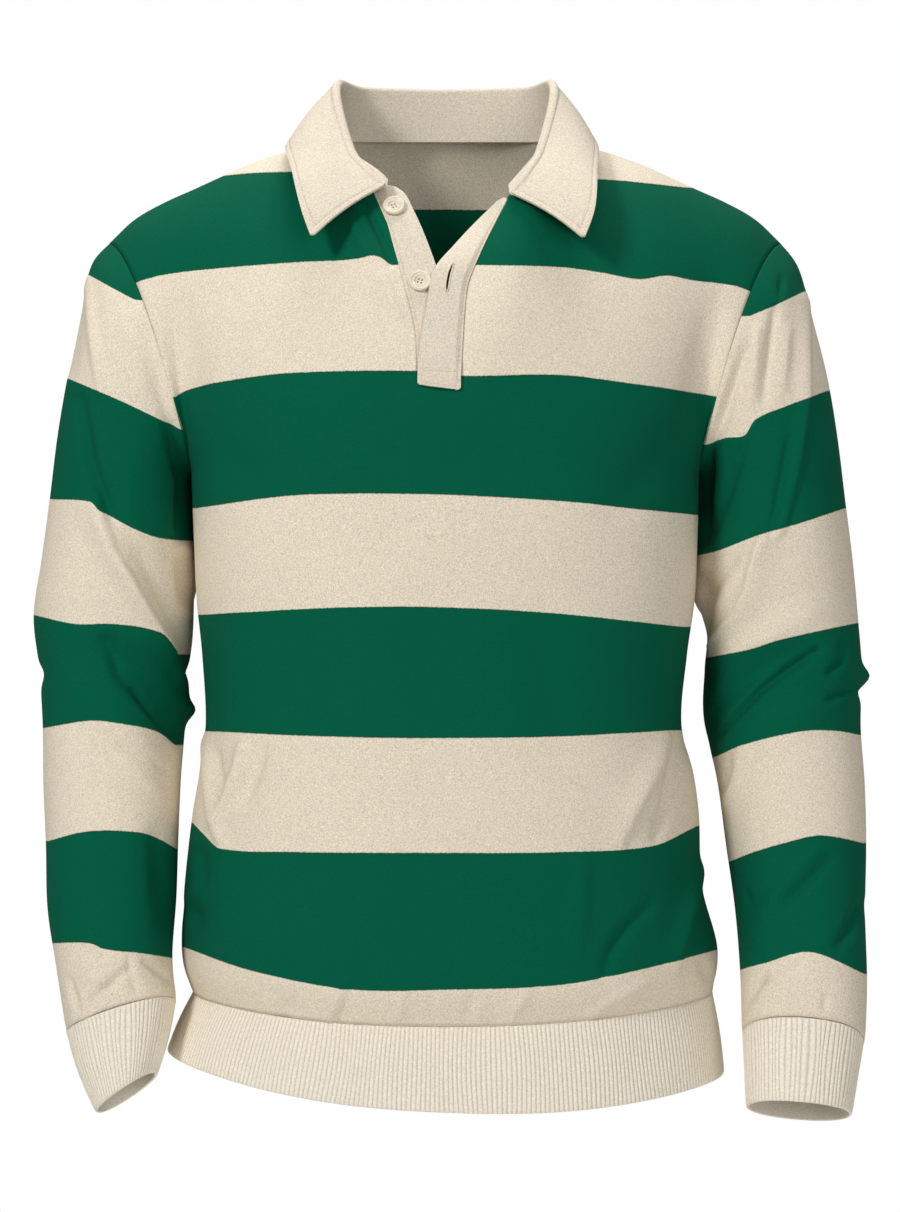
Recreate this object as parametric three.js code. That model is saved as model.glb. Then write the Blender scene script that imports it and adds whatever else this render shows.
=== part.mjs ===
// A long-sleeved rugby shirt in knitted cotton, standing open in the form that a wearer gives it:
// front and back panels, two set-in sleeves, ribbed cuffs and waistband, a folded collar, and a
// two-strip placket with two buttons, undone down to its middle.
// Millimetres. +Z is up, the front faces -Y, and the wearer's left is +X. The origin lies midway
// between the two shoulder seams' neck ends, where the neck stands on the shoulders.

import * as THREE from "three";

// Cloth thicknesses and the gap that is left where two pieces are sewn together.
const CLOTH = 2;
const RIB_CLOTH = 1.8;
const COLLAR_CLOTH = 2.2;
const PLACKET_CLOTH = 1.8;
const SEAM = 0.3;

// The body below the underarm. Each row is a level ring: its height at the side seams, its reach
// to the wearer's right, left, front and back, and how far its front and back hang lower.
const UNDERARM = -240;
const BODY = [
  { z: -611, right: 180.5, left: 191.5, front: 118, back: 110, frontDrop: 12, backDrop: 3 },
  { z: -592, right: 187, left: 195, front: 126, back: 116, frontDrop: 11, backDrop: 3 },
  { z: -575, right: 188.5, left: 194.5, front: 127, back: 117, frontDrop: 10, backDrop: 2 },
  { z: -535, right: 186.5, left: 184, front: 124, back: 112, frontDrop: 8, backDrop: 2 },
  { z: -485, right: 181, left: 182, front: 120, back: 105, frontDrop: 5, backDrop: 1 },
  { z: -455, right: 176, left: 178, front: 118, back: 101, frontDrop: 3, backDrop: 0 },
  { z: -420, right: 171.5, left: 169.5, front: 117, back: 99, frontDrop: 1, backDrop: 0 },
  { z: -370, right: 174, left: 173.5, front: 119, back: 102, frontDrop: 0, backDrop: 0 },
  { z: -330, right: 178, left: 179, front: 121, back: 107, frontDrop: 0, backDrop: 0 },
  { z: -285, right: 180, left: 181, front: 123, back: 113, frontDrop: 0, backDrop: 0 },
  { z: UNDERARM, right: 182, left: 182, front: 122, back: 118, frontDrop: 0, backDrop: 0 },
];
const RING_POWER = 0.84; // 2 / exponent of the superellipse that a body ring follows

// The waistband's lower edge.
const WAISTBAND_EDGE = {
  right: 199, left: 200, front: 130, back: 121, z: -660, frontDrop: 19, backDrop: 8, lean: -8,
};
const WAISTBAND_RIBS = 336;
const CUFF_RIBS = 72;
const RIB_HEIGHT = 0.8;

// Shoulder seam and neckline.
const NECK_HALF = 80;
const NECK_Z = 2.5;
const RIDGE_Y = 4;
const NECK_FRONT = 80;
const NECK_BACK = 56;
const NECK_FRONT_DROP = 81.5;
const NECK_DROP_POWER = 2.4;
const NECK_BACK_RISE = 11.5;
const SHOULDER = [
  { out: 80, z: 2.5 }, { out: 114, z: -6.5 }, { out: 142, z: -16.5 }, { out: 160, z: -24.5 },
  { out: 180, z: -33.5 }, { out: 205, z: -44.5 }, { out: 225, z: -56 }, { out: 243, z: -73 },
];
const SHOULDER_HALF = 243;
const NECK_SHARE = 0.33; // share of the half panel's width that ends at the neckline

// How the panels rise from the underarm ring to the shoulder, by share of the half width. rise is
// the pull away from the ring and roll the pull back from the top edge; out is away from the middle
// and ahead is away from the ridge, towards the front or the back.
const FRONT_RISE = [
  { share: 0, riseOut: 0, riseAhead: 5, riseUp: 55, rollOut: 0, rollAhead: 32, rollDown: 50 },
  { share: 0.33, riseOut: 0, riseAhead: 6, riseUp: 78, rollOut: 0, rollAhead: 52, rollDown: 24 },
  { share: 0.6, riseOut: 4, riseAhead: 10, riseUp: 84, rollOut: 0, rollAhead: 62, rollDown: 10 },
  { share: 0.85, riseOut: 2, riseAhead: 38, riseUp: 56, rollOut: -12, rollAhead: 72, rollDown: 12 },
  { share: 1, riseOut: -6, riseAhead: 88, riseUp: 8, rollOut: -31, rollAhead: 80, rollDown: 17 },
];
const BACK_RISE = [
  { share: 0, riseOut: 0, riseAhead: 5, riseUp: 90, rollOut: 0, rollAhead: 44, rollDown: 24 },
  { share: 0.33, riseOut: 0, riseAhead: 8, riseUp: 96, rollOut: 0, rollAhead: 70, rollDown: 10 },
  { share: 0.6, riseOut: 4, riseAhead: 10, riseUp: 92, rollOut: 0, rollAhead: 80, rollDown: 7 },
  { share: 0.85, riseOut: 2, riseAhead: 40, riseUp: 60, rollOut: -8, rollAhead: 84, rollDown: 10 },
  { share: 1, riseOut: -4, riseAhead: 92, riseUp: 8, rollOut: -21, rollAhead: 84, rollDown: 17 },
];

// The gap that the placket fills, from its foot up to the neckline: how far its two edges lie to
// the wearer's right and left of the middle.
const PLACKET_FOOT = 0.32; // share of the way from the underarm ring to the neckline
const PLACKET_GAP = [
  { up: 0, right: 18.5, left: 11 },
  { up: 0.25, right: 20, left: 12.6 },
  { up: 0.5, right: 28, left: 14.8 },
  { up: 0.6, right: 32, left: 17.4 },
  { up: 0.7, right: 36, left: 23 },
  { up: 0.8, right: 40, left: 29.5 },
  { up: 0.9, right: 48, left: 38 },
  { up: 1, right: 55, left: 47 },
];

// The two strips: each runs from its seam on the gap's edge across to a free edge, whose course is
// given here. The button strip is sewn on the wearer's right and lies under the buttonhole strip,
// sewn on the left, whose upper part turns in towards the neck.
const BUTTON_STRIP = [
  { up: 0, x: 10.2, y: -119.4, z: -181 },
  { up: 0.2, x: 7.2, y: -114.6, z: -158.6 },
  { up: 0.4, x: 2, y: -106, z: -131 },
  { up: 0.55, x: -5.5, y: -95.5, z: -106 },
  { up: 0.72, x: -14.4, y: -84, z: -80.5 },
  { up: 0.84, x: -22.5, y: -73, z: -61 },
  { up: 0.92, x: -28, y: -66, z: -50 },
  { up: 1, x: -38, y: -60, z: -42 },
];
const HOLE_STRIP = [
  { up: -0.06, x: -18.4, y: -121.4, z: -192.2 },
  { up: 0.1, x: -17.7, y: -118, z: -172 },
  { up: 0.22, x: -16, y: -115, z: -158 },
  { up: 0.34, x: -13.3, y: -111.5, z: -143 },
  { up: 0.44, x: -11.3, y: -108, z: -131 },
  { up: 0.54, x: -9.5, y: -104, z: -118.5 },
  { up: 0.64, x: -5, y: -96.5, z: -106 },
  { up: 0.75, x: 6.5, y: -80.5, z: -90.5 },
  { up: 0.86, x: 20, y: -61, z: -73 },
  { up: 0.97, x: 39, y: -45, z: -52 },
];

// The sleeves, from the armhole to the cuff seam: the sleeve's outer and inner edge as they stand
// seen from the front, the middle's depth and half its depth. x is away from the body's middle.
const SLEEVE_RIGHT = [
  { outX: 243, outZ: -75, inX: 182, inZ: -240, midY: 6, deep: 66, tilt: 0 },
  { outX: 256, outZ: -91, inX: 184, inZ: -247, midY: 7, deep: 67, tilt: 0 },
  { outX: 263, outZ: -125, inX: 184, inZ: -256, midY: 8, deep: 68, tilt: 0 },
  { outX: 271, outZ: -165, inX: 183.3, inZ: -268, midY: 9, deep: 69, tilt: 0 },
  { outX: 279, outZ: -212, inX: 182.8, inZ: -284, midY: 10, deep: 69, tilt: 0 },
  { outX: 285, outZ: -259, inX: 182.6, inZ: -305, midY: 11, deep: 68, tilt: 1 },
  { outX: 291, outZ: -302, inX: 182.4, inZ: -328, midY: 12, deep: 67, tilt: 2 },
  { outX: 297, outZ: -343, inX: 183.5, inZ: -357, midY: 13, deep: 65, tilt: 4 },
  { outX: 293, outZ: -382, inX: 187, inZ: -385, midY: 13, deep: 63, tilt: 6 },
  { outX: 290, outZ: -422, inX: 188.5, inZ: -420, midY: 9, deep: 60, tilt: 9 },
  { outX: 288, outZ: -466, inX: 190.5, inZ: -458, midY: -1, deep: 56, tilt: 12 },
  { outX: 284.5, outZ: -508, inX: 191, inZ: -498, midY: -13, deep: 53, tilt: 14 },
  { outX: 281.5, outZ: -552, inX: 191, inZ: -540, midY: -26, deep: 49, tilt: 16 },
  { outX: 273.5, outZ: -592, inX: 192.5, inZ: -582, midY: -39, deep: 44, tilt: 17 },
  { outX: 265, outZ: -636, inX: 188.5, inZ: -612, midY: -50, deep: 37, tilt: 17 },
];
const SLEEVE_LEFT = [
  { outX: 243, outZ: -75, inX: 182, inZ: -240, midY: 6, deep: 66, tilt: 0 },
  { outX: 256, outZ: -93, inX: 184, inZ: -247, midY: 7, deep: 67, tilt: 0 },
  { outX: 265, outZ: -127, inX: 184.2, inZ: -256, midY: 8, deep: 68, tilt: 0 },
  { outX: 275, outZ: -168, inX: 184, inZ: -268, midY: 9, deep: 69, tilt: 0 },
  { outX: 282.5, outZ: -212, inX: 183.8, inZ: -284, midY: 10, deep: 69, tilt: 0 },
  { outX: 288.5, outZ: -259, inX: 183.6, inZ: -305, midY: 11, deep: 68, tilt: 1 },
  { outX: 294, outZ: -302, inX: 183.6, inZ: -328, midY: 12, deep: 67, tilt: 2 },
  { outX: 298, outZ: -343, inX: 190, inZ: -356, midY: 13, deep: 65, tilt: 5 },
  { outX: 301, outZ: -385, inX: 188.5, inZ: -380, midY: 12, deep: 63, tilt: 8 },
  { outX: 299.5, outZ: -424, inX: 187.5, inZ: -414, midY: 8, deep: 61, tilt: 12 },
  { outX: 301, outZ: -468, inX: 196, inZ: -457, midY: -2, deep: 58, tilt: 16 },
  { outX: 300, outZ: -512, inX: 201, inZ: -502, midY: -15, deep: 55, tilt: 20 },
  { outX: 297, outZ: -556, inX: 206, inZ: -548, midY: -30, deep: 51, tilt: 24 },
  { outX: 295.5, outZ: -602, inX: 207.5, inZ: -592, midY: -49, deep: 46, tilt: 27 },
  { outX: 291.5, outZ: -640, inX: 206.5, inZ: -632, midY: -68, deep: 38, tilt: 28 },
];
const SLEEVE_POWER = 0.92;
const CAP_ROWS = 4; // rows over which the armhole's own curve fades out of the sleeve

// The cuffs, from their seam to their edge, in the sleeve's terms.
const CUFF_RIGHT = [
  { outX: 264.6, outZ: -637, inX: 188.9, inZ: -613, midY: -50.3, deep: 36.6, tilt: 17 },
  { outX: 255, outZ: -662, inX: 194, inZ: -637, midY: -57, deep: 33.5, tilt: 15 },
  { outX: 242.5, outZ: -689.5, inX: 200.3, inZ: -662.5, midY: -65, deep: 31, tilt: 14 },
];
const CUFF_LEFT = [
  { outX: 290.5, outZ: -641, inX: 206.9, inZ: -633, midY: -68.5, deep: 37.6, tilt: 28 },
  { outX: 284, outZ: -663, inX: 208, inZ: -655, midY: -78, deep: 34, tilt: 24 },
  { outX: 279, outZ: -688, inX: 207, inZ: -681, midY: -89, deep: 32, tilt: 20 },
];

// The largest folds, as a share of the way down and round the sleeve: where each begins and ends,
// how wide it is and how high it stands. Round is 0 on the outer side, 0.25 in front, 0.5 inside.
const FOLDS_RIGHT = [
  { down0: 0.36, round0: 0.24, down1: 0.52, round1: 0.38, wide: 15, high: 5 },
  { down0: 0.39, round0: 0.31, down1: 0.52, round1: 0.45, wide: 15, high: -4 },
  { down0: 0.545, round0: 0.26, down1: 0.66, round1: 0.45, wide: 16, high: -5.5 },
  { down0: 0.52, round0: 0.34, down1: 0.6, round1: 0.5, wide: 14, high: 4 },
  { down0: 0.61, round0: 0.2, down1: 0.7, round1: 0.36, wide: 18, high: 4 },
  { down0: 0.577, round0: -0.05, down1: 0.58, round1: 0.06, wide: 10, high: -4 },
  { down0: 0.56, round0: 0.46, down1: 0.565, round1: 0.54, wide: 10, high: -3 },
  { down0: 0.62, round0: 0.47, down1: 0.625, round1: 0.53, wide: 10, high: 7 },
  { down0: 0.3, round0: 0.58, down1: 0.5, round1: 0.78, wide: 22, high: 5 },
  { down0: 0.62, round0: 0.6, down1: 0.66, round1: 0.8, wide: 16, high: 4 },
  { down0: 0.93, round0: 0.2, down1: 0.98, round1: 0.36, wide: 15, high: 3 },
];
const FOLDS_LEFT = [
  { down0: 0.36, round0: 0.29, down1: 0.51, round1: 0.44, wide: 15, high: 5 },
  { down0: 0.4, round0: 0.36, down1: 0.49, round1: 0.5, wide: 15, high: -3.5 },
  { down0: 0.56, round0: 0.24, down1: 0.66, round1: 0.46, wide: 16, high: -5.5 },
  { down0: 0.5, round0: 0.22, down1: 0.57, round1: 0.4, wide: 16, high: 3 },
  { down0: 0.63, round0: 0.16, down1: 0.7, round1: 0.38, wide: 18, high: 4 },
  { down0: 0.572, round0: -0.05, down1: 0.575, round1: 0.05, wide: 9, high: 6 },
  { down0: 0.597, round0: -0.04, down1: 0.6, round1: 0.06, wide: 8, high: -3 },
  { down0: 0.34, round0: 0.6, down1: 0.5, round1: 0.8, wide: 22, high: 5 },
  { down0: 0.61, round0: 0.58, down1: 0.66, round1: 0.76, wide: 16, high: 4 },
  { down0: 0.92, round0: 0.3, down1: 0.97, round1: 0.44, wide: 15, high: -3 },
];

// The collar, from the wearer's right front end round the back of the neck to the left one: the top
// of its roll and the leaf's outer edge. The stand is made from the neckline.
const COLLAR = [
  { along: -1, rollX: -41, rollY: -76, rollZ: -45, edgeX: -91, edgeY: -104, edgeZ: -87 },
  { along: -0.87, rollX: -53, rollY: -66, rollZ: -32, edgeX: -99, edgeY: -91, edgeZ: -64 },
  { along: -0.72, rollX: -66, rollY: -48, rollZ: -13, edgeX: -106, edgeY: -66, edgeZ: -36 },
  { along: -0.5, rollX: -78, rollY: -6, rollZ: 40, edgeX: -113, edgeY: -6, edgeZ: -3 },
  { along: -0.25, rollX: -59, rollY: 46, rollZ: 49, edgeX: -84, edgeY: 71, edgeZ: 4 },
  { along: 0, rollX: 0, rollY: 62, rollZ: 51, edgeX: 0, edgeY: 84, edgeZ: 4 },
  { along: 0.25, rollX: 59, rollY: 46, rollZ: 49, edgeX: 84, edgeY: 71, edgeZ: 4 },
  { along: 0.5, rollX: 78, rollY: -6, rollZ: 40, edgeX: 108, edgeY: -6, edgeZ: -2 },
  { along: 0.72, rollX: 67, rollY: -48, rollZ: -13, edgeX: 106, edgeY: -66, edgeZ: -37 },
  { along: 0.87, rollX: 56, rollY: -66, rollZ: -34, edgeX: 103, edgeY: -91, edgeZ: -65 },
  { along: 1, rollX: 46, rollY: -76, rollZ: -51, edgeX: 95, edgeY: -104, edgeZ: -88 },
];
const COLLAR_END_TURN = 146; // degrees round the neckline from the centre back to a front end
const ROLL_RADIUS = 3.4;
const LEAF_SWELL = 2.4;
const FOOT_INSET = 0.8;
const FOOT_LIFT = 0.8;
const FRONT_LIFT = 2.2;
const FOOT_OVER_RIGHT = new THREE.Vector3(4.7, -1.5, 6.6);
const FOOT_OVER_LEFT = new THREE.Vector3(0, -1, 3);

// Buttons: their places on the button strip, as shares of its length and width.
const BUTTONS = [
  { name: "button_upper", up: 0.86, across: 0.42 },
  { name: "button_lower", up: 0.52, across: 0.42 },
];
const BUTTON_RADIUS = 7.2;
const BUTTON_HIGH = 2.6;

const CREAM = 0xe3d6bd;
const GREEN = 0x045b42;

/** Value of one column at a place along a table, on a smooth curve through its rows. */
function along(table, key, at, column) {
  let i = 0;
  while (i < table.length - 2 && at > table[i + 1][key]) i++;
  const slope = (p, q) => (table[q][column] - table[p][column]) / (table[q][key] - table[p][key]);
  const last = table.length - 1;
  const span = table[i + 1][key] - table[i][key];
  const t = (at - table[i][key]) / span;
  const m0 = slope(Math.max(i - 1, 0), i + 1) * span;
  const m1 = slope(i, Math.min(i + 2, last)) * span;
  const rise = table[i + 1][column] - table[i][column];
  return table[i][column] + t * (m0 + t * (3 * rise - 2 * m0 - m1 + t * (m0 + m1 - 2 * rise)));
}

/** The row of a table at a place between its rows. */
function rowAt(table, key, at) {
  const row = {};
  for (const column of Object.keys(table[0])) row[column] = along(table, key, at, column);
  return row;
}

const power = (value, exponent) => Math.sign(value) * Math.abs(value) ** exponent;
const mix = (a, b, t) => a + (b - a) * t;
const ease = (t) => t * t * (3 - 2 * t);
const clamp = (value) => Math.min(1, Math.max(0, value));
const vec = (x, y, z) => new THREE.Vector3(x, y, z);

// Lengths round a quarter of the underarm ring, from its side to its middle, at equal steps of angle.
const QUARTER_STEPS = 180;
const QUARTER = (() => {
  const row = BODY[BODY.length - 1];
  const lengths = [0];
  let last = null;
  for (let i = 0; i <= QUARTER_STEPS; i++) {
    const angle = ((i / QUARTER_STEPS) * Math.PI) / 2;
    const here = [
      row.left * Math.cos(angle) ** RING_POWER, row.front * Math.sin(angle) ** RING_POWER,
    ];
    if (last) lengths.push(lengths[i - 1] + Math.hypot(here[0] - last[0], here[1] - last[1]));
    last = here;
  }
  return lengths;
})();

/** Angle from the side seam at a share, 0 to 1, of the way from the side to the middle. */
function quarterAngle(share) {
  const wanted = clamp(share) * QUARTER[QUARTER_STEPS];
  let i = 0;
  while (i < QUARTER_STEPS - 1 && QUARTER[i + 1] < wanted) i++;
  const t = (wanted - QUARTER[i]) / (QUARTER[i + 1] - QUARTER[i]);
  return (((i + t) / QUARTER_STEPS) * Math.PI) / 2;
}

/** A point of a body ring. across is -1 at the wearer's right side seam and 1 at the left one. */
function ringPoint(row, across, isFront) {
  const angle = quarterAngle(1 - Math.abs(across));
  const side = across < 0 ? -row.right : row.left;
  const reach = isFront ? -row.front : row.back;
  const middle = Math.sin(angle);
  const drop = (isFront ? row.frontDrop : row.backDrop) * middle ** 2.6;
  const x = side * Math.cos(angle) ** RING_POWER;
  const lean = (row.lean || 0) * (x / row.left);
  return vec(x, reach * middle ** RING_POWER, row.z - drop + lean);
}

/** A point of the neckline. turn is in degrees round it: 0 at the centre back, 90 at a shoulder. */
function neckline(turn) {
  const side = Math.sin(THREE.MathUtils.degToRad(turn));
  const middle = Math.cos(THREE.MathUtils.degToRad(turn));
  const z = middle > 0
    ? NECK_Z + NECK_BACK_RISE * middle
    : NECK_Z - NECK_FRONT_DROP * (-middle) ** NECK_DROP_POWER;
  const y = RIDGE_Y + (middle > 0 ? NECK_BACK : NECK_FRONT) * middle;
  return vec(NECK_HALF * side, y, z);
}

/** The top edge of a panel: the neckline in the middle and the shoulder seam outside it. */
function topEdge(across, isFront) {
  const share = Math.abs(across);
  if (share <= NECK_SHARE) {
    const turn = (share / NECK_SHARE) * 90;
    const at = neckline(isFront ? 180 - turn : turn);
    return vec(Math.sign(across) * at.x, at.y + (isFront ? -SEAM / 2 : SEAM / 2), at.z);
  }
  const r = (share - NECK_SHARE) / (1 - NECK_SHARE);
  const out = mix(NECK_HALF, SHOULDER_HALF, r);
  return vec(
    Math.sign(across) * out,
    RIDGE_Y + 2 * r + (isFront ? -SEAM / 2 : SEAM / 2),
    along(SHOULDER, "out", out, "z"),
  );
}

/** A point of a panel above the underarm ring; up is 0 on the ring and 1 on the top edge. */
function yokePoint(across, up, isFront) {
  const table = isFront ? FRONT_RISE : BACK_RISE;
  const pull = rowAt(table, "share", Math.abs(across));
  const side = Math.sign(across);
  const ahead = isFront ? -1 : 1;
  const foot = ringPoint(BODY[BODY.length - 1], across, isFront);
  const top = topEdge(across, isFront);
  const low = vec(
    foot.x + side * pull.riseOut, foot.y + ahead * pull.riseAhead, foot.z + pull.riseUp,
  );
  const high = vec(
    top.x + side * pull.rollOut, top.y + ahead * pull.rollAhead, top.z - pull.rollDown,
  );
  const rest = 1 - up;
  return foot
    .multiplyScalar(rest ** 3)
    .addScaledVector(low, 3 * rest * rest * up)
    .addScaledVector(high, 3 * rest * up * up)
    .addScaledVector(top, up ** 3);
}

/** A point of a panel: level is -1 at the waistband seam, 0 at the underarm ring, 1 at the top. */
function panelPoint(across, level, isFront) {
  if (level > 0) return yokePoint(across, level, isFront);
  const z = mix(UNDERARM, BODY[0].z, -level);
  return ringPoint(rowAt(BODY, "z", z), across, isFront);
}

/** The outward direction of a panel at a point. */
function panelNormal(across, level, isFront) {
  const step = 0.004;
  const run = panelPoint(across + step, level, isFront).sub(panelPoint(across - step, level, isFront));
  const low = panelPoint(across, level - step, isFront);
  const climb = panelPoint(across, Math.min(level + step, 1), isFront).sub(low);
  return run.cross(climb).normalize().multiplyScalar(isFront ? 1 : -1);
}

/** The share across a panel at which it reaches an x. */
function acrossAt(x, level, isFront) {
  let low = -1;
  let high = 1;
  for (let i = 0; i < 40; i++) {
    const middle = (low + high) / 2;
    if (panelPoint(middle, level, isFront).x < x) low = middle;
    else high = middle;
  }
  return (low + high) / 2;
}

/** An edge of the placket's gap on the front panel. side is -1 for the wearer's right, 1 for the left. */
function gapEdge(level, side) {
  const up = clamp((level - PLACKET_FOOT) / (1 - PLACKET_FOOT));
  const x = along(PLACKET_GAP, "up", up, side < 0 ? "right" : "left");
  return acrossAt(side * x, level, true);
}

const everyCell = () => true;

/**
 * Points over a grid and their outward normals, each the mean of the cells that meet there. A closed
 * grid wraps from its last column to its first, and present says which cells have cloth.
 */
function gridOf(rows, columns, pointAt, closed, present = everyCell) {
  const points = [];
  for (let j = 0; j < rows; j++)
    for (let i = 0; i < columns; i++) points.push(pointAt(i, j));
  const normals = points.map(() => vec(0, 0, 0));
  const cells = closed ? columns : columns - 1;
  for (let j = 0; j < rows - 1; j++)
    for (let i = 0; i < cells; i++) {
      if (!present(i, j)) continue;
      const next = (i + 1) % columns;
      const corners = [
        j * columns + i, j * columns + next, (j + 1) * columns + next, (j + 1) * columns + i,
      ];
      const [a, b, c, d] = corners.map((k) => points[k]);
      const facing = c.clone().sub(a).cross(d.clone().sub(b)).normalize();
      for (const k of corners) normals[k].add(facing);
    }
  normals.forEach((normal) => normal.normalize());
  return { points, normals, rows, columns, closed, present };
}

/** Turns some of a grid's normals into a seam's plane, which has the direction given as its own. */
function squareUp(grid, direction, test) {
  grid.normals.forEach((normal, k) => {
    if (!test(k % grid.columns, Math.floor(k / grid.columns))) return;
    normal.addScaledVector(direction, -normal.dot(direction)).normalize();
  });
}

/** A closed wall over a grid, whose points are its outer face. */
function wall({ points, normals, rows, columns, closed, present }, thick) {
  const positions = [];
  for (const p of points) positions.push(p.x, p.y, p.z);
  points.forEach((p, k) => {
    const q = p.clone().addScaledVector(normals[k], -thick);
    positions.push(q.x, q.y, q.z);
  });
  const inner = points.length;
  const faces = [];
  const quad = (a, b, c, d) => faces.push(a, b, c, a, c, d);
  const cellColumns = closed ? columns : columns - 1;
  const has = (i, j) =>
    j >= 0 && j < rows - 1 && (closed || (i >= 0 && i < cellColumns)) &&
    present((i + cellColumns) % cellColumns, j);
  const id = (i, j) => j * columns + (i % columns);
  for (let j = 0; j < rows - 1; j++)
    for (let i = 0; i < cellColumns; i++) {
      if (!has(i, j)) continue;
      const [a, b, c, d] = [id(i, j), id(i + 1, j), id(i + 1, j + 1), id(i, j + 1)];
      quad(a, b, c, d);
      quad(inner + a, inner + d, inner + c, inner + b);
      if (!has(i, j - 1)) quad(a, inner + a, inner + b, b);
      if (!has(i, j + 1)) quad(c, inner + c, inner + d, d);
      if (!has(i - 1, j)) quad(d, inner + d, inner + a, a);
      if (!has(i + 1, j)) quad(b, inner + b, inner + c, c);
    }
  const geometry = new THREE.BufferGeometry();
  geometry.setAttribute("position", new THREE.Float32BufferAttribute(positions, 3));
  geometry.setIndex(faces);
  geometry.computeVertexNormals();
  return geometry;
}

/** A closed knitted band: its outer side has raised ribs and its inner side is plain. */
function ribbedBand(rings, ribs, ringAt, thick) {
  const STEPS = 2; // points for each rib
  const COARSE = 8; // outer points for each inner one
  const count = ribs * STEPS;
  const few = count / COARSE;
  const outer = gridOf(rings, count, (i, j) => ringAt(i / count, j), true);
  const inner = gridOf(rings, few, (i, j) => ringAt(i / few, j), true);
  const positions = [];
  outer.points.forEach((p, k) => {
    const lift = (k % STEPS) * RIB_HEIGHT;
    const q = p.clone().addScaledVector(outer.normals[k], lift - RIB_HEIGHT);
    positions.push(q.x, q.y, q.z);
  });
  inner.points.forEach((p, k) => {
    const q = p.clone().addScaledVector(inner.normals[k], -RIB_HEIGHT - thick);
    positions.push(q.x, q.y, q.z);
  });
  const faces = [];
  const outerId = (i, j) => j * count + (i % count);
  const innerId = (i, j) => outer.points.length + j * few + (i % few);
  for (let j = 0; j < rings - 1; j++) {
    for (let i = 0; i < count; i++) {
      const [a, b, c, d] = [outerId(i, j), outerId(i + 1, j), outerId(i + 1, j + 1), outerId(i, j + 1)];
      faces.push(a, b, c, a, c, d);
    }
    for (let i = 0; i < few; i++) {
      const [a, b, c, d] = [innerId(i, j), innerId(i + 1, j), innerId(i + 1, j + 1), innerId(i, j + 1)];
      faces.push(a, d, c, a, c, b);
    }
  }
  for (const [j, flip] of [[0, false], [rings - 1, true]])
    for (let i = 0; i < few; i++) {
      const fan = [];
      for (let k = 0; k < COARSE; k++) {
        const hub = k < COARSE / 2 ? innerId(i, j) : innerId(i + 1, j);
        fan.push([outerId(i * COARSE + k, j), hub, outerId(i * COARSE + k + 1, j)]);
      }
      fan.push([innerId(i, j), innerId(i + 1, j), outerId(i * COARSE + COARSE / 2, j)]);
      for (const [a, b, c] of fan) faces.push(...(flip ? [a, c, b] : [a, b, c]));
    }
  const geometry = new THREE.BufferGeometry();
  geometry.setAttribute("position", new THREE.Float32BufferAttribute(positions, 3));
  geometry.setIndex(faces);
  geometry.computeVertexNormals();
  return geometry;
}

const cloth = (color, roughness) => new THREE.MeshStandardMaterial({ color, roughness });
const BODY_CLOTH = cloth(GREEN, 0.85);
const TRIM_CLOTH = cloth(CREAM, 0.85);
const RIB_MATERIAL = cloth(CREAM, 0.9);
const BUTTON_MATERIAL = cloth(CREAM, 0.35);

const shirt = new THREE.Group();
function add(name, geometry, material) {
  const mesh = new THREE.Mesh(geometry, material);
  mesh.name = name;
  shirt.add(mesh);
  return mesh;
}

// Front and back panels. Their grids' side columns stop half a seam short of the side seam.
const LOW_LEVELS = [-1, -0.95, -0.9, -0.8, -0.68, -0.58, -0.48, -0.36, -0.24, -0.12, 0];
const SEAM_SHARE = SEAM / 2 / 245; // half a seam as a share of half the panel's width
const FRONT_UPS = [0.16, PLACKET_FOOT, 0.42, 0.52, 0.62, 0.72, 0.81, 0.9, 0.96, 1];
const BACK_UPS = [0.14, 0.28, 0.42, 0.55, 0.67, 0.78, 0.87, 0.94, 1];
const SHOULDER_CELLS = 8;
const NECK_CELLS = 4;

/** Shares along a half row: the shoulder's cells first, then the neck's up to the gap or the middle. */
function halfShares(innerShare) {
  const bend = (1 - NECK_SHARE) / (1 - innerShare);
  const shares = [];
  for (let i = 0; i <= SHOULDER_CELLS; i++) shares.push((i / SHOULDER_CELLS) * bend);
  for (let i = 1; i <= NECK_CELLS; i++) shares.push(mix(bend, 1, i / NECK_CELLS));
  return shares;
}

const ALONG_Y = vec(0, 1, 0);

/** Whether a point of a panel, fromSide columns from its side, lies on a side or shoulder seam. */
function isSewn(fromSide, j, levels) {
  const isSideSeam = fromSide === 0 && levels[j] <= 0;
  return isSideSeam || (fromSide <= SHOULDER_CELLS && j === levels.length - 1);
}

{
  const levels = [...LOW_LEVELS, ...FRONT_UPS];
  const rightShares = halfShares(Math.abs(gapEdge(1, -1)));
  const leftShares = halfShares(Math.abs(gapEdge(1, 1))).reverse();
  const half = rightShares.length;
  const side = 1 - SEAM_SHARE;
  const footRow = levels.indexOf(PLACKET_FOOT);
  const pointAt = (i, j) => {
    const level = levels[j];
    const hand = i < half ? -1 : 1;
    const edge = Math.max(level, PLACKET_FOOT);
    const edgeX = panelPoint(gapEdge(edge, hand), edge, true).x;
    const inner = level < PLACKET_FOOT ? acrossAt(edgeX, level, true) : gapEdge(level, hand);
    const share = i < half ? rightShares[i] : leftShares[i - half];
    return panelPoint(mix(hand * side, inner, share), level, true);
  };
  const present = (i, j) => i !== half - 1 || j < footRow;
  const grid = gridOf(levels.length, 2 * half, pointAt, false, present);
  squareUp(grid, ALONG_Y, (i, j) => isSewn(Math.min(i, 2 * half - 1 - i), j, levels));
  add("front", wall(grid, CLOTH), BODY_CLOTH);
}

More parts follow.
